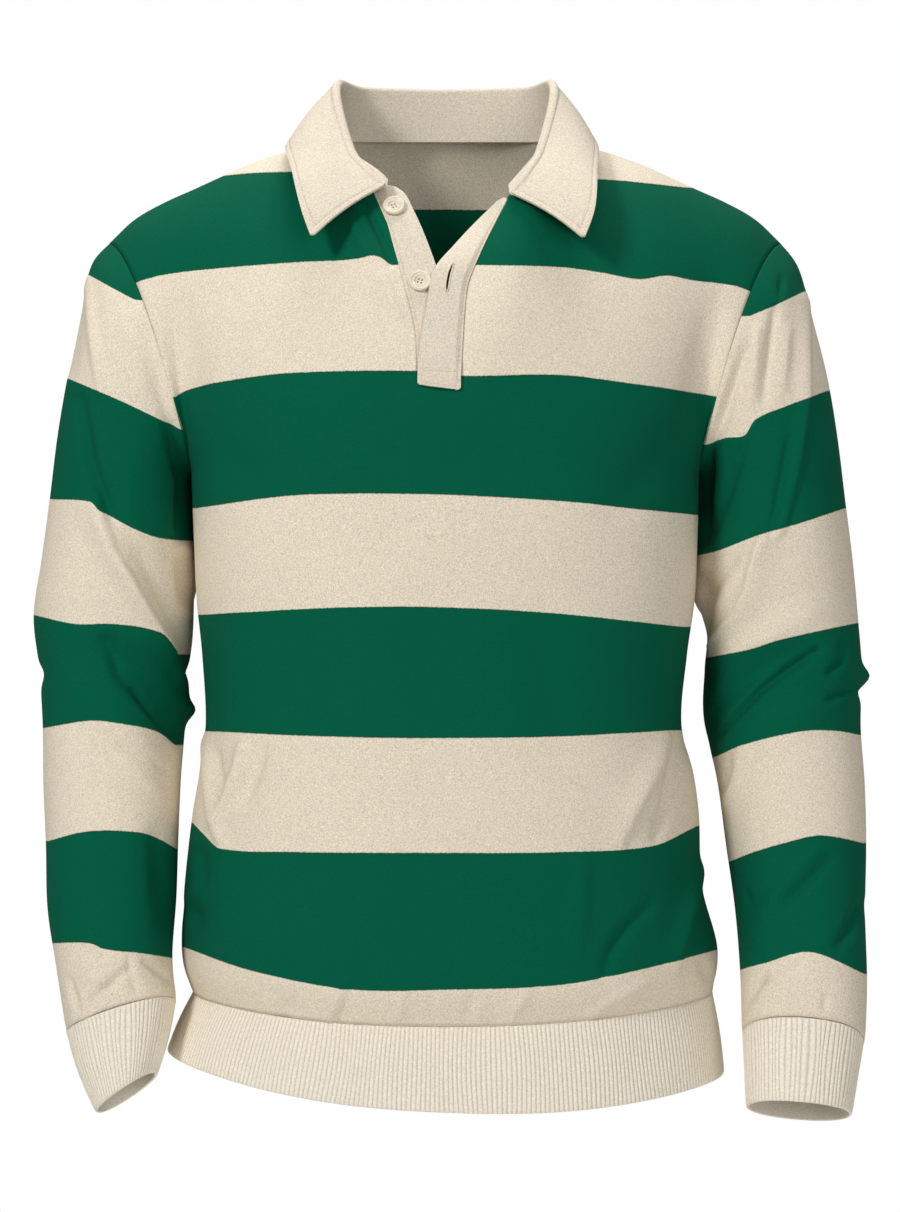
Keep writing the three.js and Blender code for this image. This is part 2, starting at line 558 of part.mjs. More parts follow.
{
  const levels = [...LOW_LEVELS, ...BACK_UPS];
  const shares = halfShares(0);
  const half = shares.length;
  const columns = 2 * half - 1;
  const side = 1 - SEAM_SHARE;
  const pointAt = (i, j) => {
    const share = i < half ? shares[i] : shares[columns - 1 - i];
    return panelPoint((i < half ? 1 : -1) * mix(side, 0, share), levels[j], false);
  };
  const grid = gridOf(levels.length, columns, pointAt, false);
  squareUp(grid, ALONG_Y, (i, j) => isSewn(Math.min(i, columns - 1 - i), j, levels));
  add("back", wall(grid, CLOTH), BODY_CLOTH);
}

/** A point of the armhole, by share round it: 0 at the shoulder, 0.25 in front, 0.5 at the underarm. */
function armhole(round, side) {
  const isFront = round <= 0.5;
  const up = isFront ? 1 - 2 * round : 2 * round - 1;
  return yokePoint(side, ease(up) * 0.35 + up * 0.65, isFront);
}

/** A point of a sleeve's or cuff's ring, which is tilted up in front by its row's degrees. */
function sleeveRing(row, round, side) {
  const angle = 2 * Math.PI * round;
  const tilt = THREE.MathUtils.degToRad(row.tilt);
  const outward = (power(Math.cos(angle), SLEEVE_POWER) + 1) / 2;
  const ahead = row.deep * power(Math.sin(angle), SLEEVE_POWER);
  return vec(
    side * mix(row.inX, row.outX, outward),
    row.midY - ahead * Math.cos(tilt),
    mix(row.inZ, row.outZ, outward) + ahead * Math.sin(tilt),
  );
}

/** How far a point stands off the plain sleeve, from the folds that pass near it. */
function foldHeight(folds, down, round, length, girth) {
  let high = 0;
  for (const fold of folds) {
    const run = [(fold.down1 - fold.down0) * length, (fold.round1 - fold.round0) * girth];
    let turn = round - fold.round0;
    turn -= Math.round(turn - (fold.round1 - fold.round0) / 2);
    const from = [(down - fold.down0) * length, turn * girth];
    const size = run[0] ** 2 + run[1] ** 2;
    const t = clamp((from[0] * run[0] + from[1] * run[1]) / size);
    const away = Math.hypot(from[0] - t * run[0], from[1] - t * run[1]) / fold.wide;
    high += fold.high * Math.exp(-2 * away * away) * (0.55 + 0.45 * Math.sin(Math.PI * t));
  }
  return high;
}

const SLEEVE_LENGTH = 560;
const SLEEVE_GIRTH = 370;

/** A sleeve's outer surface without its folds; place runs from 0 at the armhole by table rows. */
function sleevePoint(table, place, round, side) {
  const rows = table.map((row, index) => ({ ...row, index }));
  const at = sleeveRing(rowAt(rows, "index", place), round, side);
  const fade = clamp(1 - place / CAP_ROWS) ** 2;
  if (fade > 0) at.addScaledVector(armhole(round, side).sub(sleeveRing(rows[0], round, side)), fade);
  return at;
}

const SLEEVE_COLUMNS = 24;
const SLEEVE_PLACES = [
  0.02, 0.6, 1.3, 2, 2.8, 3.6, 4.4, 5.1, 5.7, 6.3, 6.9, 7.4, 7.75, 8.05, 8.35, 8.7, 9.1, 9.6, 10.2,
  10.9, 11.7, 12.5, 13.2, 13.7, 14,
];

function addSleeve(name, table, folds, side) {
  const turn = (i) => (side > 0 ? SLEEVE_COLUMNS - i : i) / SLEEVE_COLUMNS;
  const last = SLEEVE_PLACES.length - 1;
  const plain = gridOf(last + 1, SLEEVE_COLUMNS, (i, j) => {
    return sleevePoint(table, SLEEVE_PLACES[last - j], turn(i), side);
  }, true);
  const grid = gridOf(last + 1, SLEEVE_COLUMNS, (i, j) => {
    const down = SLEEVE_PLACES[last - j] / (table.length - 1);
    const calm = ease(clamp((1 - down) * 12)) * ease(clamp(down * 5));
    const high = foldHeight(folds, down, turn(i) % 1, SLEEVE_LENGTH, SLEEVE_GIRTH) * calm;
    const k = j * SLEEVE_COLUMNS + i;
    const at = plain.points[k].clone().addScaledVector(plain.normals[k], high);
    if (j === last) at.x += side * 3 * SEAM;
    return at;
  }, true);
  add(name, wall(grid, CLOTH), BODY_CLOTH);
}

addSleeve("sleeve_right", SLEEVE_RIGHT, FOLDS_RIGHT, -1);
addSleeve("sleeve_left", SLEEVE_LEFT, FOLDS_LEFT, 1);

function addCuff(name, table, side) {
  const ringAt = (round, j) =>
    sleeveRing(table[table.length - 1 - j], side > 0 ? 1 - round : round, side);
  add(name, ribbedBand(table.length, CUFF_RIBS, ringAt, RIB_CLOTH), RIB_MATERIAL);
}

addCuff("cuff_right", CUFF_RIGHT, -1);
addCuff("cuff_left", CUFF_LEFT, 1);

{
  const top = { ...BODY[0], z: BODY[0].z - SEAM };
  const ringAt = (round, j) => {
    const row = j === 0 ? WAISTBAND_EDGE : top;
    const isFront = round < 0.5;
    const across = isFront ? 4 * round - 1 : 3 - 4 * round;
    return ringPoint(row, across, isFront);
  };
  add("waistband", ribbedBand(2, WAISTBAND_RIBS, ringAt, RIB_CLOTH), RIB_MATERIAL);
}

/** The seam of a placket strip on the gap's edge, raised off the front panel, and its direction out. */
function stripSeam(up, side, raised) {
  const level = mix(PLACKET_FOOT, 1, up);
  const across = gapEdge(level, side);
  const normal = panelNormal(across, level, true);
  return { at: panelPoint(across, level, true).addScaledVector(normal, raised), normal };
}

/** A point of a placket strip's outer face; share is 0 at its seam and 1 at its free edge. */
function stripPoint(table, up, share, side, raised, inset) {
  const seam = stripSeam(up, side, raised);
  const row = rowAt(table, "up", up);
  const free = vec(row.x, row.y, row.z).addScaledVector(seam.normal, raised);
  const start = seam.at.clone().add(vec(-side * inset, 0, 0));
  return start.lerp(free, share).addScaledVector(seam.normal, STRIP_BOW * Math.sin(Math.PI * share));
}

const STRIP_COLUMNS = 5;
const STRIP_BOW = 0.3;
function addStrip(name, table, side, ups, raised, inset) {
  const grid = gridOf(ups.length, STRIP_COLUMNS, (i, j) => {
    const share = i / (STRIP_COLUMNS - 1);
    return stripPoint(table, ups[j], side > 0 ? 1 - share : share, side, raised, inset);
  }, false);
  const seamColumn = side > 0 ? STRIP_COLUMNS - 1 : 0;
  ups.forEach((up, j) => {
    grid.normals[j * STRIP_COLUMNS + seamColumn].copy(stripSeam(up, side, raised).normal);
  });
  add(name, wall(grid, PLACKET_CLOTH), TRIM_CLOTH);
}

const BUTTON_STRIP_UPS = [0.01, 0.15, 0.3, 0.42, 0.54, 0.66, 0.76, 0.85, 0.92, 0.97];
const HOLE_STRIP_UPS = [-0.06, 0.1, 0.22, 0.34, 0.44, 0.54, 0.64, 0.75, 0.86, 0.96];
const BUTTON_STRIP_RAISE = -SEAM;
const HOLE_STRIP_RAISE = PLACKET_CLOTH + 2 * SEAM;
addStrip("placket_button_strip", BUTTON_STRIP, -1, BUTTON_STRIP_UPS, BUTTON_STRIP_RAISE, 2 * SEAM);
addStrip("placket_hole_strip", HOLE_STRIP, 1, HOLE_STRIP_UPS, HOLE_STRIP_RAISE, 0);

// The collar's cloth runs up the stand, over the roll and down the leaf.
const COLLAR_COLUMNS = 33;
const STAND_SHARES = [0, 0.5];
const ROLL_TURNS = [0, 45, 90, 135, 180];
const LEAF_SHARES = [0.3, 0.65, 1];

/** Where the collar's stand is sewn: on the neckline, and over the placket's strips at its ends. */
function collarFoot(place) {
  const beyond = Math.max(Math.abs(place) - 0.5, 0) * 2;
  const turn = Math.min(Math.abs(place), 0.5) * 180 + beyond * (COLLAR_END_TURN - 90);
  const foot = neckline(Math.sign(place) * turn);
  const inward = vec(foot.x, foot.y - RIDGE_Y, 0).normalize();
  const end = ease(clamp((Math.abs(place) - 0.8) / 0.2));
  foot.addScaledVector(inward, -FOOT_INSET);
  foot.z += FOOT_LIFT + FRONT_LIFT * ease(clamp((Math.abs(place) - 0.55) / 0.25));
  const over = place < 0 ? FOOT_OVER_RIGHT : FOOT_OVER_LEFT;
  return foot.addScaledVector(over, end);
}

function collarPoint(place, k) {
  const row = rowAt(COLLAR, "along", place);
  const roll = vec(row.rollX, row.rollY, row.rollZ);
  const edge = vec(row.edgeX, row.edgeY, row.edgeZ);
  const outward = edge.clone().sub(roll).setZ(0).normalize();
  const middle = roll.clone().add(vec(0, 0, -ROLL_RADIUS));
  const rollAt = (degrees) => {
    const angle = THREE.MathUtils.degToRad(degrees);
    return middle.clone()
      .addScaledVector(outward, -ROLL_RADIUS * Math.cos(angle))
      .add(vec(0, 0, ROLL_RADIUS * Math.sin(angle)));
  };
  if (k < STAND_SHARES.length) return collarFoot(place).lerp(rollAt(0), STAND_SHARES[k]);
  const turnIndex = k - STAND_SHARES.length;
  if (turnIndex < ROLL_TURNS.length) return rollAt(ROLL_TURNS[turnIndex]);
  const share = LEAF_SHARES[turnIndex - ROLL_TURNS.length];
  const swell = LEAF_SWELL * Math.sin(Math.PI * share);
  return rollAt(180).lerp(edge, share).addScaledVector(outward, swell * 0.6).add(vec(0, 0, swell * 0.8));
}

{
  const across = STAND_SHARES.length + ROLL_TURNS.length + LEAF_SHARES.length;
  const grid = gridOf(across, COLLAR_COLUMNS, (i, j) => {
    const place = 1 - (2 * i) / (COLLAR_COLUMNS - 1);
    return collarPoint(place, across - 1 - j);
  }, false);
  add("collar", wall(grid, COLLAR_CLOTH), TRIM_CLOTH);
}

// Each button is a turned disc with a rim and a dished middle, set on the button strip's face.
const BUTTON_PROFILE = [
  [0, 0], [BUTTON_RADIUS - 1.2, 0], [BUTTON_RADIUS, 0.9], [BUTTON_RADIUS, 1.8],
  [BUTTON_RADIUS - 0.9, BUTTON_HIGH], [BUTTON_RADIUS - 2, BUTTON_HIGH - 0.2],
  [BUTTON_RADIUS - 2.8, BUTTON_HIGH - 0.9], [0, BUTTON_HIGH - 1],
];
const BUTTON_SIDES = 20;
for (const { name, up, across } of BUTTONS) {
  const at = (du, da) =>
    stripPoint(BUTTON_STRIP, up + du, across + da, -1, BUTTON_STRIP_RAISE, 2 * SEAM);
  const nudge = 0.02;
  const run = at(0, nudge).sub(at(0, -nudge));
  const climb = at(nudge, 0).sub(at(-nudge, 0));
  const facing = run.cross(climb).normalize();
  const profile = BUTTON_PROFILE.map(([radius, high]) => new THREE.Vector2(radius, high));
  const mesh = add(name, new THREE.LatheGeometry(profile, BUTTON_SIDES), BUTTON_MATERIAL);
  mesh.quaternion.setFromUnitVectors(ALONG_Y, facing);
  mesh.position.copy(at(0, 0).addScaledVector(facing, 2 * SEAM));
}

export default shirt;
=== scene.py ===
"""The finished look of a long-sleeved rugby shirt, built over its packed solids.

The shirt is hollow and stands open in the form that a wearer gives it. +Z is up, the front faces -Y
and the wearer's left is +X. Tables and sizes are in millimetres, and meshes are written in metres.
"""

import bisect
import logging
import math
from collections.abc import Callable, Sequence
from dataclasses import dataclass, field
from enum import Enum
from types import SimpleNamespace
from typing import ClassVar

import bmesh
import bpy
import numpy as np
from mathutils import Matrix, Vector

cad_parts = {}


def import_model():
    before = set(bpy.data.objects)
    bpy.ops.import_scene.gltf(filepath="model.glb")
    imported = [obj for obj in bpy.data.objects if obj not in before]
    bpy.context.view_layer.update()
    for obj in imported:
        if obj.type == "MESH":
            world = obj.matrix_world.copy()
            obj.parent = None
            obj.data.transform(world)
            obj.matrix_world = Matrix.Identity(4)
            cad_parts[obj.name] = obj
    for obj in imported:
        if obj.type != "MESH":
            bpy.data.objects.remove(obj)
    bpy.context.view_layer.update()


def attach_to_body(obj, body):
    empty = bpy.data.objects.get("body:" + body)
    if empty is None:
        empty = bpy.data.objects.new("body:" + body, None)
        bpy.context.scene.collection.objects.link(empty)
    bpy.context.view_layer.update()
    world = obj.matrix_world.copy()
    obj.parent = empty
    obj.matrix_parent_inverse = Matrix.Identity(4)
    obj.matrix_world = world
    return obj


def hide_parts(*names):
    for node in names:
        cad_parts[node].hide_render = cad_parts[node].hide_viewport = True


log = logging.getLogger("rugby_shirt")

MM = 0.001
BODY_NAME = "root"


class Course:
    """Values that run smoothly through a table's rows, on the same curve as in the solids."""

    def __init__(self, key: str, columns: str, rows: Sequence[Sequence[float]]) -> None:
        """Reads a table.

        Args:
            key: The column that gives each row's place.
            columns: The columns' names, with spaces between.
            rows: The rows, by rising place.
        """
        names = columns.split()
        self.columns = {name: [row[k] for row in rows] for k, name in enumerate(names)}
        self.places = self.columns[key]
        self.known: dict[float, SimpleNamespace] = {}

    def value(self, place: float, column: str) -> float:
        """One column's value at a place."""
        x = self.places
        y = self.columns[column]
        last = len(x) - 1
        i = min(max(bisect.bisect_left(x, place) - 1, 0), last - 1)
        span = x[i + 1] - x[i]
        t = (place - x[i]) / span
        low = max(i - 1, 0)
        high = min(i + 2, last)
        m0 = (y[i + 1] - y[low]) / (x[i + 1] - x[low]) * span
        m1 = (y[high] - y[i]) / (x[high] - x[i]) * span
        rise = y[i + 1] - y[i]
        return y[i] + t * (m0 + t * (3 * rise - 2 * m0 - m1 + t * (m0 + m1 - 2 * rise)))

    def at(self, place: float) -> SimpleNamespace:
        """Every column's value at a place."""
        if place not in self.known:
            row = {name: self.value(place, name) for name in self.columns}
            self.known[place] = SimpleNamespace(**row)
        return self.known[place]


# The body below the underarm: a level ring's height at the side seams, its reach each way, and how
# far its front and back hang lower.
BODY = Course("z", "z right left front back front_drop back_drop", [
    (-611, 180.5, 191.5, 118, 110, 12, 3),
    (-592, 187, 195, 126, 116, 11, 3),
    (-575, 188.5, 194.5, 127, 117, 10, 2),
    (-535, 186.5, 184, 124, 112, 8, 2),
    (-485, 181, 182, 120, 105, 5, 1),
    (-455, 176, 178, 118, 101, 3, 0),
    (-420, 171.5, 169.5, 117, 99, 1, 0),
    (-370, 174, 173.5, 119, 102, 0, 0),
    (-330, 178, 179, 121, 107, 0, 0),
    (-285, 180, 181, 123, 113, 0, 0),
    (-240, 182, 182, 122, 118, 0, 0),
])
WAISTBAND_EDGE = SimpleNamespace(
    z=-660, right=199, left=200, front=130, back=121, front_drop=19, back_drop=8, lean=-8
)
SHOULDER = Course("out", "out z", [
    (80, 2.5), (114, -6.5), (142, -16.5), (160, -24.5), (180, -33.5), (205, -44.5), (225, -56),
    (243, -73),
])
# How a panel rises from the underarm ring and rolls on to its top edge, by share of its half width.
RISE_COLUMNS = "share rise_out rise_ahead rise_up roll_out roll_ahead roll_down"
FRONT_RISE = Course("share", RISE_COLUMNS, [
    (0, 0, 5, 55, 0, 32, 50),
    (0.33, 0, 6, 78, 0, 52, 24),
    (0.6, 4, 10, 84, 0, 62, 10),
    (0.85, 2, 38, 56, -12, 72, 12),
    (1, -6, 88, 8, -31, 80, 17),
])
BACK_RISE = Course("share", RISE_COLUMNS, [
    (0, 0, 5, 90, 0, 44, 24),
    (0.33, 0, 8, 96, 0, 70, 10),
    (0.6, 4, 10, 92, 0, 80, 7),
    (0.85, 2, 40, 60, -8, 84, 10),
    (1, -4, 92, 8, -21, 84, 17),
])
PLACKET_GAP = Course("up", "up right left", [
    (0, 18.5, 11), (0.25, 20, 12.6), (0.5, 28, 14.8), (0.6, 32, 17.4), (0.7, 36, 23),
    (0.8, 40, 29.5), (0.9, 48, 38), (1, 55, 47),
])
# The free edges of the placket's strips.
BUTTON_STRIP = Course("up", "up x y z", [
    (0, 10.2, -119.4, -181), (0.2, 7.2, -114.6, -158.6), (0.4, 2, -106, -131),
    (0.55, -5.5, -95.5, -106), (0.72, -14.4, -84, -80.5), (0.84, -22.5, -73, -61),
    (0.92, -28, -66, -50), (1, -38, -60, -42),
])
HOLE_STRIP = Course("up", "up x y z", [
    (-0.06, -18.4, -121.4, -192.2), (0.1, -17.7, -118, -172), (0.22, -16, -115, -158),
    (0.34, -13.3, -111.5, -143), (0.44, -11.3, -108, -131), (0.54, -9.5, -104, -118.5),
    (0.64, -5, -96.5, -106), (0.75, 6.5, -80.5, -90.5), (0.86, 20, -61, -73),
    (0.97, 39, -45, -52),
])
# A sleeve's outer and inner edge as seen from the front, its middle's depth and half its depth.
SLEEVE_COLUMNS = "row out_x out_z in_x in_z mid_y deep tilt"
SLEEVE_RIGHT = Course("row", SLEEVE_COLUMNS, [
    (0, 243, -75, 182, -240, 6, 66, 0),
    (1, 256, -91, 184, -247, 7, 67, 0),
    (2, 263, -125, 184, -256, 8, 68, 0),
    (3, 271, -165, 183.3, -268, 9, 69, 0),
    (4, 279, -212, 182.8, -284, 10, 69, 0),
    (5, 285, -259, 182.6, -305, 11, 68, 1),
    (6, 291, -302, 182.4, -328, 12, 67, 2),
    (7, 297, -343, 183.5, -357, 13, 65, 4),
    (8, 293, -382, 187, -385, 13, 63, 6),
    (9, 290, -422, 188.5, -420, 9, 60, 9),
    (10, 288, -466, 190.5, -458, -1, 56, 12),
    (11, 284.5, -508, 191, -498, -13, 53, 14),
    (12, 281.5, -552, 191, -540, -26, 49, 16),
    (13, 273.5, -592, 192.5, -582, -39, 44, 17),
    (14, 265, -636, 188.5, -612, -50, 37, 17),
])
SLEEVE_LEFT = Course("row", SLEEVE_COLUMNS, [
    (0, 243, -75, 182, -240, 6, 66, 0),
    (1, 256, -93, 184, -247, 7, 67, 0),
    (2, 265, -127, 184.2, -256, 8, 68, 0),
    (3, 275, -168, 184, -268, 9, 69, 0),
    (4, 282.5, -212, 183.8, -284, 10, 69, 0),
    (5, 288.5, -259, 183.6, -305, 11, 68, 1),
    (6, 294, -302, 183.6, -328, 12, 67, 2),
    (7, 298, -343, 190, -356, 13, 65, 5),
    (8, 301, -385, 188.5, -380, 12, 63, 8),
    (9, 299.5, -424, 187.5, -414, 8, 61, 12),
    (10, 301, -468, 196, -457, -2, 58, 16),
    (11, 300, -512, 201, -502, -15, 55, 20),
    (12, 297, -556, 206, -548, -30, 51, 24),
    (13, 295.5, -602, 207.5, -592, -49, 46, 27),
    (14, 291.5, -640, 206.5, -632, -68, 38, 28),
])
CUFF_RIGHT = Course("row", SLEEVE_COLUMNS, [
    (0, 264.6, -637, 188.9, -613, -50.3, 36.6, 17),
    (1, 255, -662, 194, -637, -57, 33.5, 15),
    (2, 242.5, -689.5, 200.3, -662.5, -65, 31, 14),
])
CUFF_LEFT = Course("row", SLEEVE_COLUMNS, [
    (0, 290.5, -641, 206.9, -633, -68.5, 37.6, 28),
    (1, 284, -663, 208, -655, -78, 34, 24),
    (2, 279, -688, 207, -681, -89, 32, 20),
])
# The collar: the top of its roll and its leaf's outer edge, from the wearer's right end round.
COLLAR = Course("along", "along roll_x roll_y roll_z edge_x edge_y edge_z", [
    (-1, -41, -76, -45, -91, -104, -87),
    (-0.87, -53, -66, -32, -99, -91, -64),
    (-0.72, -66, -48, -13, -106, -66, -36),
    (-0.5, -78, -6, 40, -113, -6, -3),
    (-0.25, -59, 46, 49, -84, 71, 4),
    (0, 0, 62, 51, 0, 84, 4),
    (0.25, 59, 46, 49, 84, 71, 4),
    (0.5, 78, -6, 40, 108, -6, -2),
    (0.72, 67, -48, -13, 106, -66, -37),
    (0.87, 56, -66, -34, 103, -91, -65),
    (1, 46, -76, -51, 95, -104, -88),
])


@dataclass(frozen=True)
class Crease:
    """A soft ridge, or a trough where high is negative, along a path over a cloth."""

    path: tuple[tuple[float, float], ...]
    wide: float
    high: float
    other: float = 1


FINEST_CREASE = 3.6
# Folds down a sleeve: shares round it, 0 on the outer side, 0.25 in front, 0.5 inside, and down it.
FOLDS_RIGHT = (
    Crease(((0.24, 0.36), (0.38, 0.52)), 15, 5),
    Crease(((0.31, 0.39), (0.45, 0.52)), 15, -4),
    Crease(((0.26, 0.545), (0.45, 0.66)), 16, -5.5),
    Crease(((0.34, 0.52), (0.5, 0.6)), 14, 4),
    Crease(((0.2, 0.61), (0.36, 0.7)), 18, 4),
    Crease(((-0.05, 0.577), (0.06, 0.58)), 10, -4),
    Crease(((0.46, 0.56), (0.54, 0.565)), 10, -3),
    Crease(((0.47, 0.62), (0.53, 0.625)), 10, 7),
    Crease(((0.58, 0.3), (0.78, 0.5)), 22, 5),
    Crease(((0.6, 0.62), (0.8, 0.66)), 16, 4),
    Crease(((0.2, 0.93), (0.36, 0.98)), 15, 3),
    Crease(((0.6, 0.22), (0.72, 0.42)), 9, -2.4),
    Crease(((0.66, 0.44), (0.78, 0.56), (0.9, 0.58)), 9, -2.6),
    Crease(((0.56, 0.66), (0.68, 0.7), (0.84, 0.69)), 8, -2.2),
    Crease(((0.62, 0.76), (0.84, 0.82)), 13, -1.8),
    Crease(((0.9, 0.3), (0.94, 0.46)), 9, 1.4),
)
FOLDS_LEFT = (
    Crease(((0.29, 0.36), (0.44, 0.51)), 15, 5),
    Crease(((0.36, 0.4), (0.5, 0.49)), 15, -3.5),
    Crease(((0.24, 0.56), (0.46, 0.66)), 16, -5.5),
    Crease(((0.22, 0.5), (0.4, 0.57)), 16, 3),
    Crease(((0.16, 0.63), (0.38, 0.7)), 18, 4),
    Crease(((-0.05, 0.572), (0.05, 0.575)), 9, 6),
    Crease(((-0.04, 0.597), (0.06, 0.6)), 8, -3),
    Crease(((0.6, 0.34), (0.8, 0.5)), 22, 5),
    Crease(((0.58, 0.61), (0.76, 0.66)), 16, 4),
    Crease(((0.3, 0.92), (0.44, 0.97)), 15, -3),
    Crease(((0.62, 0.24), (0.74, 0.44)), 9, -2.6),
    Crease(((0.64, 0.46), (0.76, 0.57), (0.88, 0.6)), 9, -2.4),
    Crease(((0.54, 0.67), (0.66, 0.71), (0.82, 0.7)), 8, -2),
    Crease(((0.64, 0.78), (0.82, 0.83)), 13, -1.8),
    Crease(((0.88, 0.28), (0.93, 0.44)), 9, 1.4),
)
# Short gathers where a sleeve's back half meets its cuff, in the same shares.
BACK_GATHERS = (
    Crease(((0.6, 0.93), (0.63, 0.985)), 5, -1.5),
    Crease(((0.68, 0.95), (0.67, 0.99)), 4, 1.1),
    Crease(((0.76, 0.92), (0.8, 0.985)), 5, -1.6),
    Crease(((0.88, 0.94), (0.86, 0.985)), 4, -1.1),
)
# Creases by where they stand seen from the front, in the side seams' plane.
RIGHT_CREASES = (
    Crease(((-257, -100), (-254, -136), (-248, -183)), 5, 1.5),
    Crease(((-264, -115), (-269, -165)), 7, -1.1),
    Crease(((-228, -136), (-216, -176)), 6, 0.8),
    Crease(((-212, -143), (-197, -201)), 8, -1.7),
    Crease(((-263, -187), (-256, -230), (-245, -259), (-240, -273)), 7, -2.6),
    Crease(((-248, -262), (-239, -294), (-228, -313), (-215, -339), (-198, -367)), 16, 2.7, 0.2),
    Crease(((-196, -208), (-187, -244), (-189, -284)), 8, -3.5),
    Crease(((-190, -302), (-187, -331)), 7, -2),
    Crease(((-243, -360), (-234, -385), (-212, -406), (-192, -427)), 7, -2.2),
    Crease(((-223, -396), (-200, -424)), 4, -1.5),
    Crease(((-248, -428), (-220, -442)), 4, -0.9),
    Crease(((-216, -442), (-202, -453)), 4, -0.9),
    Crease(((-256, -453), (-245, -464)), 4, -0.7),
    Crease(((-240, -436), (-200, -475)), 6, 0.7),
    Crease(((-208, -500), (-202, -560)), 10, -1.5),
    Crease(((-262, -582), (-250, -588)), 5, -0.9),
    Crease(((-228, -597), (-245, -611), (-256, -622), (-261, -633)), 4.5, -1.8),
    Crease(((-228, -590), (-221, -619)), 1.9, -0.9),
    Crease(((-270, -605), (-263, -630)), 3.5, -1.3),
    Crease(((-216, -591), (-198, -604)), 4, -1.3),
    Crease(((-256, -601), (-240, -607)), 6, 0.9),
)
LEFT_CREASES = (
    Crease(((260, -115), (261, -187), (254, -237), (243, -280)), 9, 1.8, 0.3),
    Crease(((238, -122), (234, -151), (230, -187)), 5, -1.8),
    Crease(((242, -98), (242, -111)), 3, -0.9),
    Crease(((247, -136), (243, -179)), 5, 0.9),
    Crease(((216, -151), (209, -172), (199, -201), (194, -215)), 7, -2.7),
    Crease(((225, -136), (221, -187)), 5, 0.9),
    Crease(((216, -215), (204, -251), (194, -280)), 6, -1.7),
    Crease(((189, -223), (185, -259), (187, -287)), 8, -3.4),
    Crease(((248, -215), (240, -259), (234, -284)), 4, -1.4),
    Crease(((227, -287), (218, -323), (211, -339), (199, -356), (192, -365)), 3.5, 2.9, 5),
    Crease(((187, -313), (186, -330)), 8, -2.5),
    Crease(((269, -367), (248, -380), (227, -395), (209, -413), (197, -428)), 4.5, -2.9),
    Crease(((288, -360), (286, -374), (277, -383)), 4, -2),
    Crease(((292, -395), (274, -403)), 3.5, -1.6),
    Crease(((212, -442), (207, -464), (199, -478)), 2.5, 1.4, 4),
    Crease(((207, -450), (200, -470)), 5, -1.3),
    Crease(((269, -511), (248, -532), (227, -557)), 6, 1.1),
    Crease(((277, -518), (261, -534), (245, -550)), 5, -1.5),
    Crease(((299, -550), (292, -568), (284, -579)), 6, -2),
    Crease(((216, -540), (220, -550)), 4, -0.8),
    Crease(((230, -601), (223, -608), (220, -615)), 5, -1.9),
    Crease(((245, -597), (236, -600)), 4, -1),
    Crease(((274, -615), (274, -631)), 1.9, -0.8),
    Crease(((240, -610), (250, -622)), 6, 0.8),
)
FRONT_CREASES = (
    Crease(((-173, -433), (-171, -460), (-168, -489), (-161, -509)), 3.6, 2.2, 2),
    Crease(((-146, -435), (-149, -453), (-156, -472), (-164, -488)), 5, 2.9),
    Crease(((-165, -440), (-162, -470)), 4.5, -2),
    Crease(((-132, -439), (-138, -457), (-146, -476)), 7, -2.6),
    Crease(((-176, -511), (-174, -536)), 6, -1.8),
    Crease(((-150, -560), (-135, -580)), 30, 1.5),
    Crease(((-72, -608), (-79, -622), (-83, -632)), 4.5, 1.9),
    Crease(((-112, -620), (-116, -630)), 7, -1.2),
    Crease(((-128, -609), (-122, -618)), 6, -0.9),
    Crease(((-30, -616), (-34, -632)), 5, 0.8),
    Crease(((22, -614), (16, -632)), 6, -0.8),
    Crease(((60, -612), (48, -632)), 5, 0.8),
    Crease(((-182, -552), (-178, -564)), 8, -2.6),
    Crease(((161, -433), (155, -450), (146, -467), (137, -485), (130, -500)), 15, 2.4, 0.28),
    Crease(((167, -435), (164, -457), (160, -475), (152, -500)), 5.5, -2.9),
    Crease(((148, -550), (133, -565), (120, -583), (115, -601)), 6, -2),
    Crease(((184, -525), (178, -554), (169, -590)), 10, 2.5, 0.35),
    Crease(((101, -518), (99, -576)), 14, 1, 0.4),
    Crease(((144, -608), (122, -619), (104, -630)), 4, 1.3),
    Crease(((152, -612), (136, -622)), 4, -1.2),
    Crease(((186, -594), (189, -604)), 6, -1.4),
    Crease(((-59, -42), (-50, -60), (-42, -76), (-38, -88)), 4.5, -1.9),
    Crease(((-68, -55), (-55, -82)), 5, 1.1),
    Crease(((-51, -110), (-39, -136)), 5.5, -1.3),
    Crease(((-44, -98), (-33, -126)), 4.5, 0.9),
    Crease(((-168, -212), (-122, -262)), 22, -1.3),
    Crease(((168, -214), (124, -266)), 22, -1.4),
    Crease(((-190, -120), (-176, -200)), 13, -1.2),
    Crease(((190, -124), (176, -205)), 13, -1.3),
    Crease(((-90, -340), (-100, -430)), 30, -1),
    Crease(((70, -350), (84, -440)), 30, -1),
)
